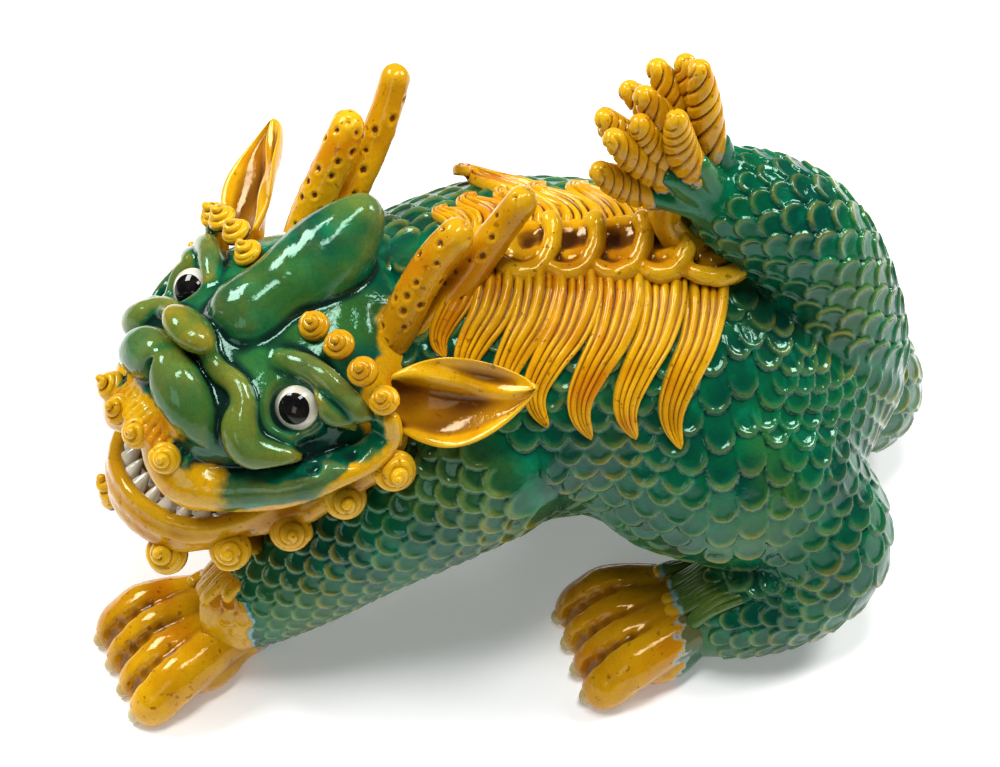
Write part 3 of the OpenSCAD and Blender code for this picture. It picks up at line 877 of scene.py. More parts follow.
def model_head():
    clay = Clay((-72, -62, -62), (44, 62, 64), HEAD_STEP)
    for stop in spline(SKULL, 16):
        clay.egg(stop[:3], stop[3:], 3)
    clay.egg((13, 0, -4), (10, 12, 10), 5)
    clay.egg((14, 0, -25), (9, 22, 8), 5)
    clay.string([[23 - 0.019 * y * y, y, -32.0 - 0.12 * abs(y), 4.6] for y in range(-21, 22, 6)], 3)
    for side in SIDES:
        for stops, k in ((LIP, 3), (FOLD, 2.2), (BROW, 3), (LID, 2)):
            clay.string(spline(mirrored(stops, side), 4 * len(stops)), k)
        clay.string(spline(mirrored(LIP_EDGE, side), 40), 2.0)
        # hollow of the cheek, the groove over the lip and the crease beside the nose
        clay.string(mirrored([[-2, 44, -6, 4.5], [-9, 50.5, -1, 5], [-13, 53, 5, 3.5]], side), 3, cut=True)
        clay.string(mirrored([[13, 32, -26, 2], [5, 41, -20, 2.5], [-4, 47, -12, 2]], side), 2.5, cut=True)
        clay.string(mirrored([[26, 13, -5, 2], [24, 20, -13, 3], [24, 24, -22, 3]], side), 2.5, cut=True)
    clay.egg((-36, 0, -46), (30, 34, 14), 4, cut=True)
    clay.egg((-2, 0, -48), (26, 26, 15), 3, cut=True)
    clay.string(spline(CROWN, 20), 2.5)
    # bridge of the nose with its cross fold, and the nose
    clay.egg((25, 0, 4.5), (8, 11, 5.5), 2.5)
    clay.egg((24, 0, -9), (7, 8, 7), 1.5)
    for side in SIDES:
        clay.string(spline(mirrored(NOSE_WING, side), 14), 1.6)
        at, look = eye_pose(side)
        clay.rod(at, at + 9 * look, EYE_RADIUS - 0.5, EYE_RADIUS - 0.5, 2, cut=True)
        clay.string(at + 2.6 * look + 8.0 * ring_around(look, 25), 1.2, radius=2.1)
    clay.egg((31, 0, -15), (5, 2.0, 8), 2.5, cut=True)
    # brushed strands above the moustache curls
    for y in np.arange(-21, 22, 2.8):
        x = 27.6 - 0.019 * y * y
        clay.string([[x - 5, y * 0.8, -20, 0.7], [x - 1.5, y * 0.9, -26, 1.1], [x + 0.6, y, -32, 1.3]], 0.5)
    return clay


def eye_pose(side):
    return mirrored([EYE_AT], side)[0], unit(GAZE[side])


def ring_around(direction, count):
    """Unit circle square to a direction, with its first point repeated at the end."""
    across = unit(np.cross(direction, (0, 0, 1)))
    over = np.cross(across, direction)
    a = np.linspace(0, 2 * math.pi, count)
    return np.cos(a)[:, None] * across + np.sin(a)[:, None] * over


def closeness(verts, paths, reach):
    """1 on any of the paths, falling to 0 at the reach outside them."""
    gap = np.min([limb_distance(verts, path) for path in paths], axis=0)
    return np.clip(1 - np.maximum(gap, 0) / reach, 0, 1)


def both(stops, count=24):
    return [spline(mirrored(stops, side), count) for side in SIDES]


def build_head():
    verts, faces = model_head().skin(2)
    verts = hand_worked(verts, faces, 0.14, 0.26)
    strands = [np.array([[27, y, -26, 2.0], [28, y, -34, 3.0]], float) for y in range(-26, 22, 4)]
    roots = [mirrored([[-34, 24, 24, 10], [-30, 28, 14, 9], [-27, 44, 10, 9]], side) for side in SIDES]
    bridge = [np.array([[27, -8, 4, 5], [27, 8, 4, 5]], float)]
    lip_end = LIP[:3] + [[3, 33, -31, 1.0]]
    honey = [closeness(verts, both(LIP_EDGE), 2.2), closeness(verts, both(lip_end), 4.5),
             closeness(verts, strands, 4.0), 0.9 * closeness(verts, roots, 6.0)]
    normals = normals_of(verts, faces)
    masks = {"amber": np.max(honey, axis=0),
             "olive": closeness(verts, both(FOLD) + both(BROW) + both(LID) + bridge, 1.5),
             # darker green in the hollow of each cheek: painted shade over pooled glaze
             "pool_and_shade": closeness(verts, both([[-2, 46, -6, 3], [-14, 49, 4, 3]]), 9.0),
             "relief": relief_of(verts, faces, normals, 30, 0.75)}
    crown = (limb_distance(verts, spline(CROWN, 20)) < 1.5) & (verts[:, 2] > 8)
    for name, wanted, node in (("head_glazed", 0, "head_shell"), ("crown_glazed", 1, "crown_lump")):
        v, f, n, values = split(verts, faces, normals, crown.astype(int), masks, wanted)
        make_piece(name, (from_head(v), f), [node], GREEN, values, normals=n @ HEAD_R.T)


def jaw_arch(count=61, inward=0.0, drop=0.0):
    """The rim of the jaw from its right end to its left end."""
    half = np.array(JAW_SIDE, float)
    line = spline(np.vstack([half[:0:-1] * [1, -1, 1], half]), count)
    pull = unit((line - [-14, 0, 0]) * [1, 1, 0])
    return line - inward * pull - [0, 0, drop]


def build_jaw():
    clay = Clay((-66, -64, -80), (34, 64, 24), HEAD_STEP)
    clay.string(jaw_arch(), 1.2, radius=2.5)
    clay.string(jaw_arch(inward=1.2, drop=3.8), 1.4, radius=2.7)
    clay.string(jaw_arch(inward=7.0, drop=6.5), 4, radius=4.4)
    clay.egg((-24, 0, -61), (30, 28, 6), 4)
    clay.egg((-12, 0, -46), (24, 26, 14), 2.0, cut=True)
    # tongue
    clay.egg((-14, 0, -60.5), (17, 12, 4.5), 3)
    for side in SIDES:
        clay.string(mirrored(JAW_HINGE, side), 4)
        clay.string(mirrored(RUFF, side), 3)
    verts, faces = clay.skin(2)
    verts = hand_worked(verts, faces, 0.13, 0.32)
    # darkest brown inside the mouth, as painted shade over pooled glaze, and a lighter brown over the rest of
    # the jaw
    inner = np.clip(1.2 - np.linalg.norm((verts - [-12, 0, -52]) / [25, 27, 12], axis=1), 0, 0.6) / 0.6
    make_piece("jaw_glazed", (from_head(verts), faces), ["lower_jaw"], masks={"pool_and_shade": np.maximum(inner, 0.5)},
               relief=0.7, passes=24)


def cone_tooth(at, tip, radius):
    t = np.linspace(0, 1, 7)
    path = at + (tip - at) * t[:, None]
    size = radius * (np.maximum(1 - t ** 1.3, 0.0) ** 0.85 + 0.06)
    _, side, up = frames_along(path, (1, 0, 0.1))
    a = 2 * math.pi * np.arange(14) / 14
    wave = 1 + 0.12 * np.cos(2 * a + 0.5)
    return loft(path[:, None] + (size[:, None] * wave)[..., None] * (
        np.cos(a)[None, :, None] * side[:, None] + np.sin(a)[None, :, None] * up[:, None]))


def build_teeth():
    parts = []
    for i, at in enumerate(jaw_arch(19, inward=3.2)[3:-3]):
        big = (1.25, 1.0, 1.1, 0.95)[i % 4]
        lean = np.array([0, 0, 6.8 + 1.6 * rng.random()]) * big - 0.07 * (at - [-14, 0, at[2]])
        parts.append(cone_tooth(at, at + lean, 2.5 * big))
    make_piece("teeth_glazed", in_head(parts), ["lower_teeth"], CREAM, relief=3.0)


def ball(at, look, radius, half_angle, rings, sides):
    """Cap of a sphere around the direction look, closed behind by a shallow cone."""
    t = np.linspace(0.01, half_angle, rings)[::-1]
    around = ring_around(look, sides + 1)[:-1]
    return loft(at + radius * (np.cos(t)[:, None, None] * look + np.sin(t)[:, None, None] * around[None]))


def build_eyes():
    for side, word in WORDS:
        at, look = eye_pose(side)
        white = ball(at, look, EYE_RADIUS, math.pi - 0.05, 40, 64)
        make_piece("eye_" + word + "_ball", in_head([white]), ["eye_" + word], CREAM)
        pupil = ball(at, look, EYE_RADIUS + 0.35, 0.60, 28, 48)
        make_piece("eye_" + word + "_pupil", in_head([pupil]), [], PUPIL)


# ---- swept pieces ----

def sweep(path, width, thick=None, ref=(0, 0, 1), sides=14, shape=None):
    """Closed tube; shape(t, a) scales the section at t along the path and angle a."""
    path = np.asarray(path, float)
    width = np.asarray(width, float) * np.ones(len(path))
    thick = width if thick is None else np.asarray(thick, float) * np.ones(len(path))
    _, side, up = frames_along(path, ref)
    a = 2 * math.pi * np.arange(sides) / sides
    t = np.linspace(0, 1, len(path))
    grow = np.ones((len(path), sides)) if shape is None else shape(t[:, None], a[None])
    return loft(path[:, None] + side[:, None] * (width[:, None] * np.cos(a) * grow)[..., None]
                - up[:, None] * (thick[:, None] * np.sin(a) * grow)[..., None])


def round_ends(path, radius, start=False, steps=5):
    """Adds the stations of a half ball at the end of a path, and at its start if asked."""
    path, radius = np.asarray(path, float), np.asarray(radius, float)
    a = np.linspace(0, math.pi / 2 - 0.12, steps + 1)[1:]
    ahead = unit(path[-1] - path[-2])
    path = np.vstack([path, path[-1] + ahead * (radius[-1] * np.sin(a))[:, None]])
    radius = np.concatenate([radius, radius[-1] * np.cos(a)])
    if start:
        path, radius = round_ends(path[::-1], radius[::-1], False, steps)
        return path[::-1], radius[::-1]
    return path, radius


def rod_mesh(stops, ref, sides, per, shape):
    rows = spline(stops, (len(stops) - 1) * per + 1)
    path, radius = round_ends(rows[:, :3], rows[:, 3], True)
    return sweep(path, radius, None, ref, sides, shape)


def bead(at, half, axes, rings=10, sides=26):
    t = np.linspace(0.08, math.pi - 0.08, rings)
    a = 2 * math.pi * np.arange(sides) / sides
    local = np.stack([np.sin(t)[:, None] * np.cos(a), np.sin(t)[:, None] * np.sin(a),
                      np.cos(t)[:, None] * np.ones(sides)], -1) * half
    return loft(local @ axes + at)


def snail_curl(at, direction, radius, turns, spin, hand=1):
    """A clay string coiled up to a central knob, on a stepped base."""
    n = unit(direction)
    e = unit(np.cross(n, (0.2, 0.3, 1.0)))
    f = np.cross(n, e)

    def coil(a, reach, lift):
        return at + (reach * np.cos(a))[:, None] * e + (reach * np.sin(a))[:, None] * f + lift[:, None] * n

    t = np.linspace(0, 1, 60)
    path = coil(hand * (spin + 2 * math.pi * turns * t), radius * (0.74 - 0.66 * t ** 0.9),
                radius * (-0.15 + 0.95 * t ** 1.25))
    string, size = round_ends(path, radius * (0.30 - 0.06 * t), True)
    ring = coil(np.linspace(0, 2 * math.pi, 33), np.full(33, 0.66 * radius), np.full(33, -0.22 * radius))
    base = bead(at - 0.38 * radius * n, radius * np.array([0.98, 0.98, 0.46]), np.stack([e, f, n]))
    return [sweep(string, size, None, n, 12), base, sweep(ring, radius * 0.33, None, n, 10)]


BROW_CURLS = [[-2, 20, 23], [-4, 31, 24], [-7, 42, 22], [-12, 51, 18]]
BEARD_CURLS = [[3.5, 17, -70.5], [-6, 32, -57], [-17, 41, -42], [-22, 50, -22], [-26, 58.5, -4]]


def build_curls():
    for side, word in WORDS:
        brow, beard = [], []
        for i, at in enumerate(mirrored(BROW_CURLS, side)):
            brow += snail_curl(at, (0.8, side * 0.25, 0.5), 5.0, 2.1, 1.3 * i, side)
        for i, at in enumerate(mirrored(BEARD_CURLS, side)):
            beard += snail_curl(at, (0.6, at[1] / 60, 0.2), 7.0, 2.1, 1.7 * i, side)
        for name, parts, relief in (("brow_curls_", brow, 0.40), ("beard_curls_", beard, 0.55)):
            make_piece(name + word + "_coiled", in_head(parts), [name + word], relief=relief, passes=16)
    parts = []
    for i, y in enumerate((-22, -9, 4, 17)):
        at = np.array([28.5 - 0.012 * y * y, y, -33])
        parts += snail_curl(at, (0.85, 0.25 + 0.02 * y, 0.25), 5.2, 2.0, 2.2 * i)
    make_piece("moustache_curls_coiled", in_head(parts), ["moustache_curls"], relief=0.40, passes=16)


HORN_TIPS = (((-28, 32, 71), 3, "front"), ((-41, 37, 90), -5, "rear"))
PIT_SPACING, PIT_TRIES, MOST_PITS = 4.6, 400, 46


def pitted_horn(root, end, bow, side):
    t = np.linspace(0, 0.93, 70 if FINE else 40)
    sway = np.stack([bow * np.sin(math.pi * t), 1.2 * side * np.sin(2 * math.pi * t), 0 * t], 1)
    path = root + (end - root) * t[:, None] + sway
    radius = 7.6 - 2.6 * t ** 1.6 + 0.5 * np.sin(5 * t + bow)
    path, radius = round_ends(path, radius, False, 7)
    verts, faces = sweep(path, radius, radius * 0.92, (1, 0, 0), 64 if FINE else 40)
    kept = []
    for pit in verts[rng.choice(len(verts) - 2, PIT_TRIES, replace=False)]:
        if all(np.linalg.norm(pit - other) > PIT_SPACING for other in kept):
            kept.append(pit)
    dent = np.zeros(len(verts))
    for pit in kept[:MOST_PITS]:
        size = 0.85 + 0.4 * rng.random()
        gap = np.linalg.norm(verts - pit, axis=1) / size
        dent += -1.0 * np.exp(-gap ** 2) + 0.28 * np.exp(-((gap - 1.6) / 0.5) ** 2)
    return verts + normals_of(verts, faces) * dent[:, None], faces


def build_horns():
    for side, word in WORDS:
        for tip, bow, row in HORN_TIPS:
            root = np.array([-33, side * 24, 13.0])
            horn = pitted_horn(root, mirrored([tip], side)[0], bow, side)
            name = "horn_%s_%s" % (word, row)
            # each horn is browner towards its root
            make_piece(name + "_pitted", in_head([horn]), [name], relief=0.5, passes=8,
                       masks={"pool_and_shade": np.clip((32 - horn[0][:, 2]) / 20, 0, 0.4)})


def build_ears():
    """A cupped leaf: a rolled fold along its upper edge, a midrib and a pointed tip."""
    for side, word in WORDS:
        base, tip = np.array([-25, side * 45, 13.0]), np.array([-43, side * 76, 43.0])
        span = tip - base
        s = unit(span)
        view = np.array([0.74, side * 0.56, 0.37])
        n = unit(view - (view @ s) * s)
        w = np.cross(s, n) * side
        u = np.linspace(0, 1, 60)[:, None]
        v = np.linspace(-1, 1, 33)[None]
        half = 13.5 * np.sin(math.pi * np.clip(0.17 + 0.83 * u, 0, 1)) ** 0.8 + 0.6
        bend = 3.0 * np.sin(math.pi * u)
        cup = 6.0 * (v ** 2) * np.sin(math.pi * np.clip(u * 0.9 + 0.1, 0, 1)) - 2.0
        rib = 3.4 * np.exp(-((v + 0.85 - 0.95 * u) / 0.24) ** 2) * np.clip(1.25 - u, 0, 1)
        fold = 1.2 * np.exp(-((v - 0.86) / 0.14) ** 2) + 0.5 * np.sin(9 * u + 3 * v)
        inner = cup + rib + fold + 2.5 * u - bend * 0.5
        outer = inner - 2.4 * np.sqrt(np.clip(1 - v ** 4, 0, 1)) - 0.9
        leaf = base + span * u[..., None] + (v * half + bend * 0.6)[..., None] * w
        rings = np.concatenate([leaf + inner[..., None] * n, (leaf + outer[..., None] * n)[:, ::-1]], axis=1)
        # dark brown in the bowl near the base of the ear
        bowl = np.clip(1 - np.abs(v), 0, 1) ** 0.7 * np.clip(1.15 - 1.5 * u, 0, 1)
        bowl = np.concatenate([bowl, 0 * bowl], axis=1)
        verts, faces = loft(rings[:, ::side])
        leaf = smooth(verts, faces, 1), faces
        make_piece("ear_" + word + "_leaf", in_head([leaf]), ["ear_" + word], relief=1.2, passes=24,
                   masks={"pool_and_shade": np.append(bowl[:, ::side].ravel(), [0, 0])})


# ---- mane ----

TRUNK_Z, TRUNK_HALF_WIDTH, TRUNK_HALF_HEIGHT = 86, 58, 50


def flank(x, degrees):
    a = np.radians(degrees)
    return np.stack([x, TRUNK_HALF_WIDTH * np.cos(a), TRUNK_Z + TRUNK_HALF_HEIGHT * np.sin(a)], -1)


def lock_mesh(path, normals, half_width, thick, strands=5, seed=0.0):
    """A bundle of round strands of uneven width lying side by side."""
    tangent = unit(np.gradient(path, axis=0))
    n = unit(normals - (normals * tangent).sum(1, keepdims=True) * tangent)
    side = np.cross(tangent, n)
    widths = 1 + 0.3 * np.sin(2.4 * np.arange(strands) + seed)
    cuts = np.concatenate([[0], np.cumsum(widths)]) / widths.sum()
    u = np.linspace(0, 1, strands * 8 + 1)
    number = np.interp(u, cuts, np.arange(strands + 1.0))
    which = np.minimum(number.astype(int), strands - 1)
    ridge = np.sqrt(np.clip(1 - (2 * (number - which) - 1) ** 2, 0, 1)) * (0.7 + 0.3 * widths[which])
    v = 2 * u - 1
    half_width, thick = half_width[:, None], thick[:, None]
    wave = 1 + 0.25 * np.sin(np.linspace(0, 7, len(path))[:, None] + 2.1 * which[None] + seed)
    crown = 0.35 + 0.65 * np.sqrt(np.clip(1 - 0.9 * v ** 2, 0, 1))
    top = thick * crown + half_width / strands * (1.5 * ridge * wave - 1.1)
    over = path[:, None] + side[:, None] * (half_width * v)[..., None] + n[:, None] * top[..., None]
    low = path[:, None] - n[:, None] * (thick * 0.5)[..., None]
    under = low + side[:, None] * (half_width * v[::-4] * 0.94)[..., None]
    return loft(np.concatenate([over, under], axis=1)[:, ::-1])


LOCK_SWEEP = [[0, 0], [0.2, -0.02], [0.4, -0.25], [0.58, -0.68], [0.74, -0.98], [0.87, -0.98], [1, -0.72]]
LOCK_START = {-1: 78, 1: 88}  # degrees up from the horizontal on each flank


def mane_lock(clay, side, x0, sway, reach, width=7.6):
    """One lock: straight down from the crest, then swept forward, with a hooked tip."""
    bend = spline(LOCK_SWEEP, 56 if FINE else 36)
    t = bend[:, 0]
    x = x0 + sway * bend[:, 1]
    p = flank(x, LOCK_START[side] - reach * t) * [1, side, 1]
    centre = np.stack([x, 0 * x, TRUNK_Z + 0 * x], 1)
    out = unit(p - centre)
    p, _ = cast(clay, centre, out, 60.0)
    lift = 1.0 * np.sin(math.pi * t) + 1.6 * np.minimum(t / 0.15, 1) - 0.6
    p = smooth_line(p, 3) + out * lift[:, None]
    taper = (1 - 0.62 * t ** 1.6) * np.sqrt(np.clip(1.02 - t ** 8, 0, 1))
    half = width * (1 + 0.05 * np.sin(7 * t + x0)) * taper
    return lock_mesh(p, out, half, 2.8 * (1 - 0.3 * t), seed=0.7 * x0)


def smooth_line(line, times):
    for _ in range(times):
        line = np.vstack([line[:1], (line[:-2] + 2 * line[1:-1] + line[2:]) / 4, line[-1:]])
    return line


# locks of each piece as x, sway and reach in degrees, and a width where it isn't the usual one
LOCKS = [[(12.5, 11, 46), (-0.5, 10, 40), (-12, 7, 30, 6.0)], [(25, 14, 52)], [(38, 13, 57)],
         [(51.5, 12, 58)], [(65, 11, 62)]]
LOCK_LENGTH = {-1: 1, 1: 0.5}
CREST_STARTS = (2.5, 16.5, 31.5, 45.5)
CREST_RIDGE = [[-4, 1, 134, 7], [40, 1, 135, 7.5], [64, 1, 132, 7.5], [80, 1, 124, 6]]
CREST_ROLL = [[-5, -9, 140, 1.6], [-1, -13.5, 138, 2.7], [5, -15.5, 137, 3.3], [10.5, -13, 138, 3.4],
              [13.5, -8, 141, 3.0], [14.3, -3, 143.8, 2.8], [13.5, 0.5, 144.8, 3.3]]
CREST_CUP = [[54, -10, 138.5, 1.6], [61, -14.5, 136.5, 2.7], [70, -15, 135, 3.0], [77, -10, 135, 2.7],
             [80, -2, 135.5, 2.4], [78, 5, 136.5, 2.0], [68, 8, 138, 1.6]]
NECK_LOCK = [[16, 16, 132], [9, 24, 132.5], [0, 31, 130.5], [-7, 37, 128.5], [-12, 38, 130],
             [-11.5, 34, 133.5]]


def build_mane(clay):
    for side, word in ((-1, "left"), (1, "right")):  # the body faces -X, so its left side is -Y
        for i, group in enumerate(LOCKS):
            parts = [mane_lock(clay, side, x0, sway, reach * LOCK_LENGTH[side], *width)
                     for x0, sway, reach, *width in group]
            name = "mane_lock_%s_%d" % (word, i + 1)
            make_piece(name + "_stranded", join(parts), [name], relief=0.9, passes=10)


def build_crest():
    """A ridge along the spine with a row of rolled scoops and a wider cup before the tail."""
    crest = Clay((-12, -22, 120), (92, 16, 152), 0.6 if FINE else 1.2)
    crest.string(CREST_RIDGE, 3)
    for x in CREST_STARTS:
        crest.egg((x + 7, -5, 136.5), (10, 10.5, 6), 1.5)
        crest.egg((x + 5.5, -4, 147), (7.5, 9, 7.2), 1.5, cut=True)
    for x in CREST_STARTS:
        crest.string(spline(CREST_ROLL, 34) + [x, 0, 0, 0], 0.7)
    crest.egg((69, -2, 131), (13, 12, 8), 1.5)
    crest.egg((68, -1, 144.5), (10, 9.5, 8), 1.5, cut=True)
    crest.string(spline(CREST_CUP, 34), 0.7)
    verts, faces = crest.skin(1)
    verts = hand_worked(verts, faces, 0.10, 0.6)
    # forty smoothing passes make a broad relief mask, so the amber glaze paints shade across the bowls of the
    # scoops
    make_piece("crest_curls_rolled", (verts, faces), ["crest_curls"], passes=40)


def build_neck_lock():
    t = np.linspace(0, 1, 50)
    half = 6.4 * (1 - 0.5 * t ** 2) * np.sqrt(np.clip(1.03 - t ** 8, 0, 1))
    lock = lock_mesh(spline(NECK_LOCK, 50), np.tile([0.1, 0.35, 0.9], (50, 1)), half, 3.0 - 0.8 * t, 4)
    make_piece("neck_lock_stranded", lock, ["neck_lock"], relief=0.9, passes=10)


# ---- tail tuft ----

FRONDS = 11


def twisted(turns, phase):
    """Section of a clay roll wound with four deep spiral grooves."""
    def shape(t, a):
        wound = 4 * a - 2 * math.pi * turns * (t + 0.02 * np.sin(11 * t + phase)) - phase
        gap = np.abs((wound + math.pi) % (2 * math.pi) - math.pi)
        return 1.04 - 0.22 * np.exp(-(gap / 0.62) ** 2)
    return shape


FROND = [(0, 4.2), (0.3, 5.2), (0.6, 5.3), (0.82, 4.7), (1, 3.5)]  # share of its length, radius
STRUT = [[56, 0, 164, 6.5], [53, -1, 157, 6.0], [52, -2, 149, 5.2], [55, -2, 142, 5.8], [59, -2, 136, 7.5]]


def build_tuft():
    parts = []
    for i in range(FRONDS):
        share = i / (FRONDS - 1)
        a = math.radians(99 + 46 * share)
        swing = 12 * math.sin(math.radians(137 * i))
        ahead = np.array([math.cos(a), 0, math.sin(a)])
        tip = TUFT_AT + ahead * (56 - 8 * share + 3 * math.cos(math.radians(97 * i))) + [0, swing, 0]
        root = TUFT_AT + ahead * 16 + [0, 0.35 * swing, 0]
        bow = 2.0 * math.sin(2.3 * i)
        stops = []
        for f, radius in FROND:
            off = bow * math.sin(math.pi * f)
            stops.append([*(root + (tip - root) * f + [off, 0, off]), radius])
        parts.append(rod_mesh(stops, (0, 1, 0), 48, 20, twisted(7.0 + 0.8 * (i % 3), 1.9 * i)))
    verts, faces = join(parts)
    root = np.linalg.norm(verts - TUFT_AT, axis=1)
    make_piece("tail_tuft_twisted", (verts, faces), ["tail_tuft"], relief=0.5, passes=8,
               masks={"green": np.clip((33 - root) / 14, 0, 1)})
    strut = rod_mesh(STRUT, (1, 0, 0), 30, 12, lambda t, a: 1 + 0.07 * np.cos(7 * a + 2 * t))
    make_piece("tuft_strut_fluted", strut, ["tuft_strut"], passes=10)


# ---- paws ----

PAWS = {"front_left": ((-97, -60), 205), "front_right": ((-74, 37), 172),
        "hind_left": ((58, -57), 195), "hind_right": ((96, 44), 160)}
TOES = (-15, -5, 5, 15)
# in the next three tables the second number is a factor of the toe's own y
TOE = [[-8, 0.5, 17, 5.5], [3, 0.78, 17, 5.6], [12, 0.96, 15.5, 6.0], [19, 1.05, 13.5, 7.0],
       [26, 1.1, 8.5, 6.6], [29, 1.12, 5, 5.6]]
CREASE = [[11, 0.95, 24, 0.3], [18, 1.03, 22.2, 0.9], [24, 1.08, 20, 1.4], [29, 1.12, 16, 1.9],
          [32.5, 1.14, 11, 2.3], [34, 1.15, 4, 2.6]]
NAIL = [[29, 1.116, 6.0, 2.0], [32.5, 1.128, 5.2, 3.0], [34.5, 1.14, 3.6, 3.0], [35, 1.152, 2.2, 2.0]]
HAIR_TUFTS = range(-2, 3)
PAW_TOP = 34


def paw_turn(heading):
    a = math.radians(heading)
    return np.array([[math.cos(a), -math.sin(a), 0], [math.sin(a), math.cos(a), 0], [0, 0, 1]])


def from_paw(points, place, heading):
    return points @ paw_turn(heading).T + [*place, 0]


def to_paw(points, place, heading):
    return (points - [*place, 0]) @ paw_turn(heading)


def model_paw(seed):
    clay = Clay((-30, -32, -2), (44, 32, 36), 0.8 if FINE else 1.3)
    clay.egg((-10, 0, 14), (14, 15, 14.5), 4)
    clay.egg((6, 0, 9), (18, 19, 11), 4)
    clay.egg((9, 0, 8.5), (17, 20.5, 11), 4)
    for i, y in enumerate(TOES):
        toe = np.array(TOE) * [1, y, 1, 1]
        toe[1:4, 2] += 0.8 * math.sin(2.1 * i + seed)
        clay.string(spline(toe, 26), 3.4)
    for low, high in zip(TOES[:-1], TOES[1:]):
        clay.string(np.array(CREASE) * [1, (low + high) / 2, 1, 1], 2.0, cut=True)
    clay.floor(0.0)
    return clay


def hair_strand(tuft, strand, body, paw, stand, highest):
    """One strand laid from the leg onto the paw, in a tuft that draws together at its end."""
    t = np.linspace(0, 1, 16)
    x = -18 + (20 - 1.5 * abs(tuft) + 2.5 * math.sin(2.2 * tuft)) * t
    y = 6.2 * tuft + strand * 2.2 * (1 - 0.75 * t ** 2) + 1.2 * np.sin(3 * t + tuft)
    spots = from_paw(np.stack([x, y, 0 * x], 1), *stand)
    z = top_of(spots, x, y, body, paw, highest)
    spots[:, 2] = smooth_line(np.stack([z, z], 1), 4)[:, 0] + (1.5 + 1.1 * abs(tuft)) * (1 - t)
    path, radius = round_ends(spots, 1.0 + 1.2 * t ** 1.5, True, 3)
    return sweep(path, radius, None, (0, 0, 1), 9)


def build_paws(body):
    for index, (word, stand) in enumerate(PAWS.items()):
        hind = word.startswith("hind")
        clay = model_paw(index)
        verts, faces = clay.skin(1)
        verts = hand_worked(verts, faces, 0.12, 0.3)
        verts[:, 2] = np.maximum(verts[:, 2], 0)
        run = np.clip(((5 if hind else -9) - verts[:, 0] + 0.25 * np.abs(verts[:, 1])) / 14, 0, 1)
        make_piece(word + "_paw", (from_paw(verts, *stand), faces), [word.replace("_", "_paw_")],
                   masks={"green": run}, relief=1.2)
        parts = []
        for y in TOES:
            nail = np.array(NAIL) * [1, y, 1, 1]
            v, f = rod_mesh(nail, (0, 1, 0), 14, 6, lambda t, a: 1 + 0.05 * np.cos(5 * a))
            v[:, 2] = np.maximum(v[:, 2], 0.0)
            parts.append((from_paw(v, *stand), f))
        make_piece(word + "_claws_worn", join(parts), [word.replace("_", "_claws_")], CLAW)
        verts, faces = join([hair_strand(tuft, strand, body, clay, stand, 32 if hind else 44)
                             for tuft in HAIR_TUFTS for strand in (-1, 0, 1)])
        masks = {"amber": np.clip((to_paw(verts, *stand)[:, 0] + 3) / 8, 0, 1), "halo": np.ones(len(verts))}
        make_piece(word + "_fringe_strands", (verts, faces), [word.replace("_", "_fringe_")],
                   GREEN if hind else AMBER, masks, passes=6)


def top_of(spots, x, y, body, paw, highest):
    """Height of the leg or paw under each spot."""
    z = np.arange(highest, 0, -0.5)

    def columns(x, y, z):
        return np.stack(np.broadcast_arrays(x[:, None], y[:, None], z[None]), -1)

    leg = body.sample(columns(spots[:, 0], spots[:, 1], z))
    foot = np.where(z[None] > PAW_TOP, FAR, paw.sample(columns(x, y, np.minimum(z, PAW_TOP + 1))))
    hit = np.minimum(leg, foot) < 0
    return np.where(hit.any(1), z[np.argmax(hit, axis=1)], 4.0)


# ---- body pieces ----

def thinned(scales):
    """Leaves out each scale that lands on one laid before it."""
    at = np.array([s[0] for s in scales])
    kept = []
    for i, (_, _, width) in enumerate(scales):
        if not kept or ((at[kept] - at[i]) ** 2).sum(1).min() > (CLOSEST_SCALES * width) ** 2:
            kept.append(i)
    return [scales[i] for i in kept]


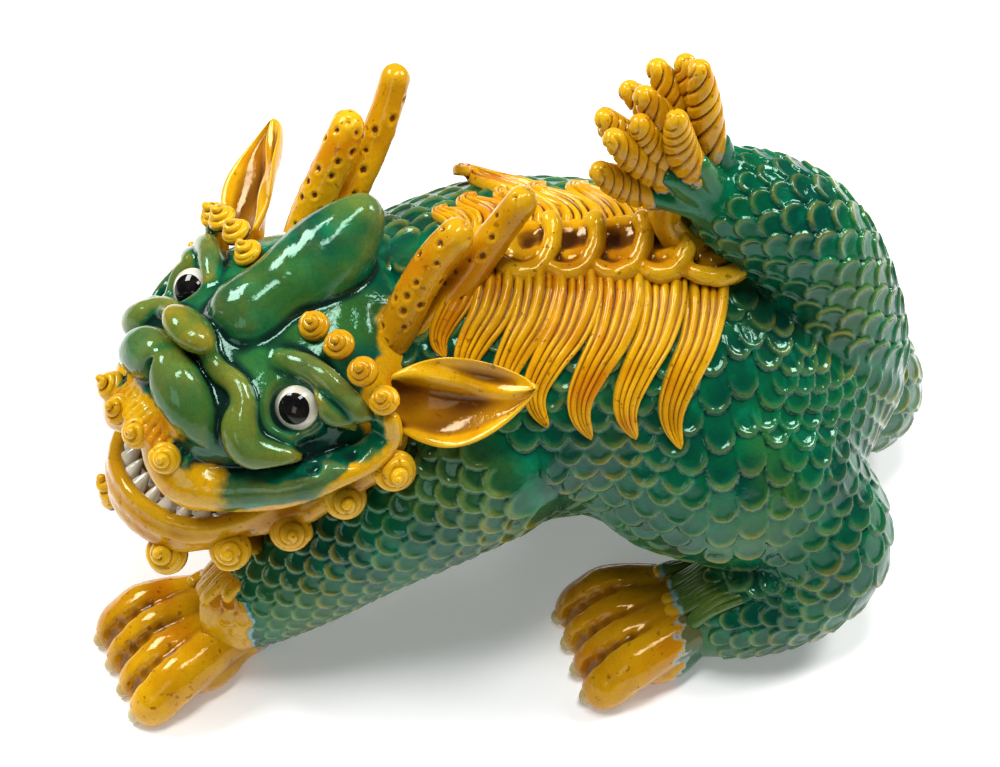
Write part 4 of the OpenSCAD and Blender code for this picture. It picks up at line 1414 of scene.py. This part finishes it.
def all_scales(clay):
    """Scales of the trunk, then of each limb, each only where its own clay is outermost."""
    found = body_scales(clay)
    at = np.array([s[0] for s in found])
    on_limb = np.min([limb_distance(at, path) for path in limb_paths.values()], axis=0)
    kept = [s for s, a, b in zip(found, on_limb, off_eggs(at)) if b < a + 2.0]
    for name, (pitch, start, stop) in LIMB_SCALES.items():
        ring = limb_scales(clay, limb_paths[name], pitch, start, stop)
        at = np.array([s[0] for s in ring])
        kept += [s for s, a, b in zip(ring, off_eggs(at), limb_distance(at, limb_paths[name])) if b < a + 3.0]
    return thinned(kept)


def wrist_mask(verts):
    """Where the honey glaze of the front paws runs up the legs."""
    mask = np.zeros(len(verts))
    for place, heading in list(PAWS.values())[:2]:
        local = to_paw(verts, place, heading)
        near = (np.abs(local[:, 1]) < 22) & (local[:, 0] < 30) & (local[:, 2] < 42)
        mask = np.maximum(mask, np.where(near, np.clip((local[:, 0] + 11) / 9, 0, 1), 0))
    return mask


def build_body():
    clay = model_body()
    verts, faces = subdivide(*clay.skin(3))
    verts = smooth(verts, faces, 2)
    normals = normals_of(verts, faces)
    gaps = [off_eggs(verts)] + [limb_distance(verts, path) for path in limb_paths.values()]
    label = np.argmin(gaps, axis=0)
    lift, rim, pool_and_shade = press_scales(verts, normals, all_scales(clay), SCALE_HEIGHT)
    verts = verts + normals * lift[:, None]
    verts = smooth(verts, faces, 1, 0.6)
    verts[:, 2] = np.maximum(verts[:, 2], 0.0)
    normals = normals_of(verts, faces)
    wrist = wrist_mask(verts)
    masks = {"rim": rim, "pool_and_shade": pool_and_shade, "relief": relief_of(verts, faces, normals, 10, 0.9),
             "amber": wrist, "halo": (wrist > 0).astype(float)}
    nodes = {"body": ["body_shell"], "tail": ["tail_root", "tail_tip"]}
    for i, name in enumerate(["body"] + list(limb_paths)):
        v, f, n, values = split(verts, faces, normals, label, masks, i)
        make_piece(name + "_glazed", (v, f), nodes.get(name, [name]), GREEN, values, normals=n)
    return clay


body_clay = build_body()
build_head()
build_jaw()
build_teeth()
build_eyes()
build_curls()
build_horns()
build_ears()
build_mane(body_clay)
build_crest()
build_neck_lock()
build_tuft()
build_paws(body_clay)
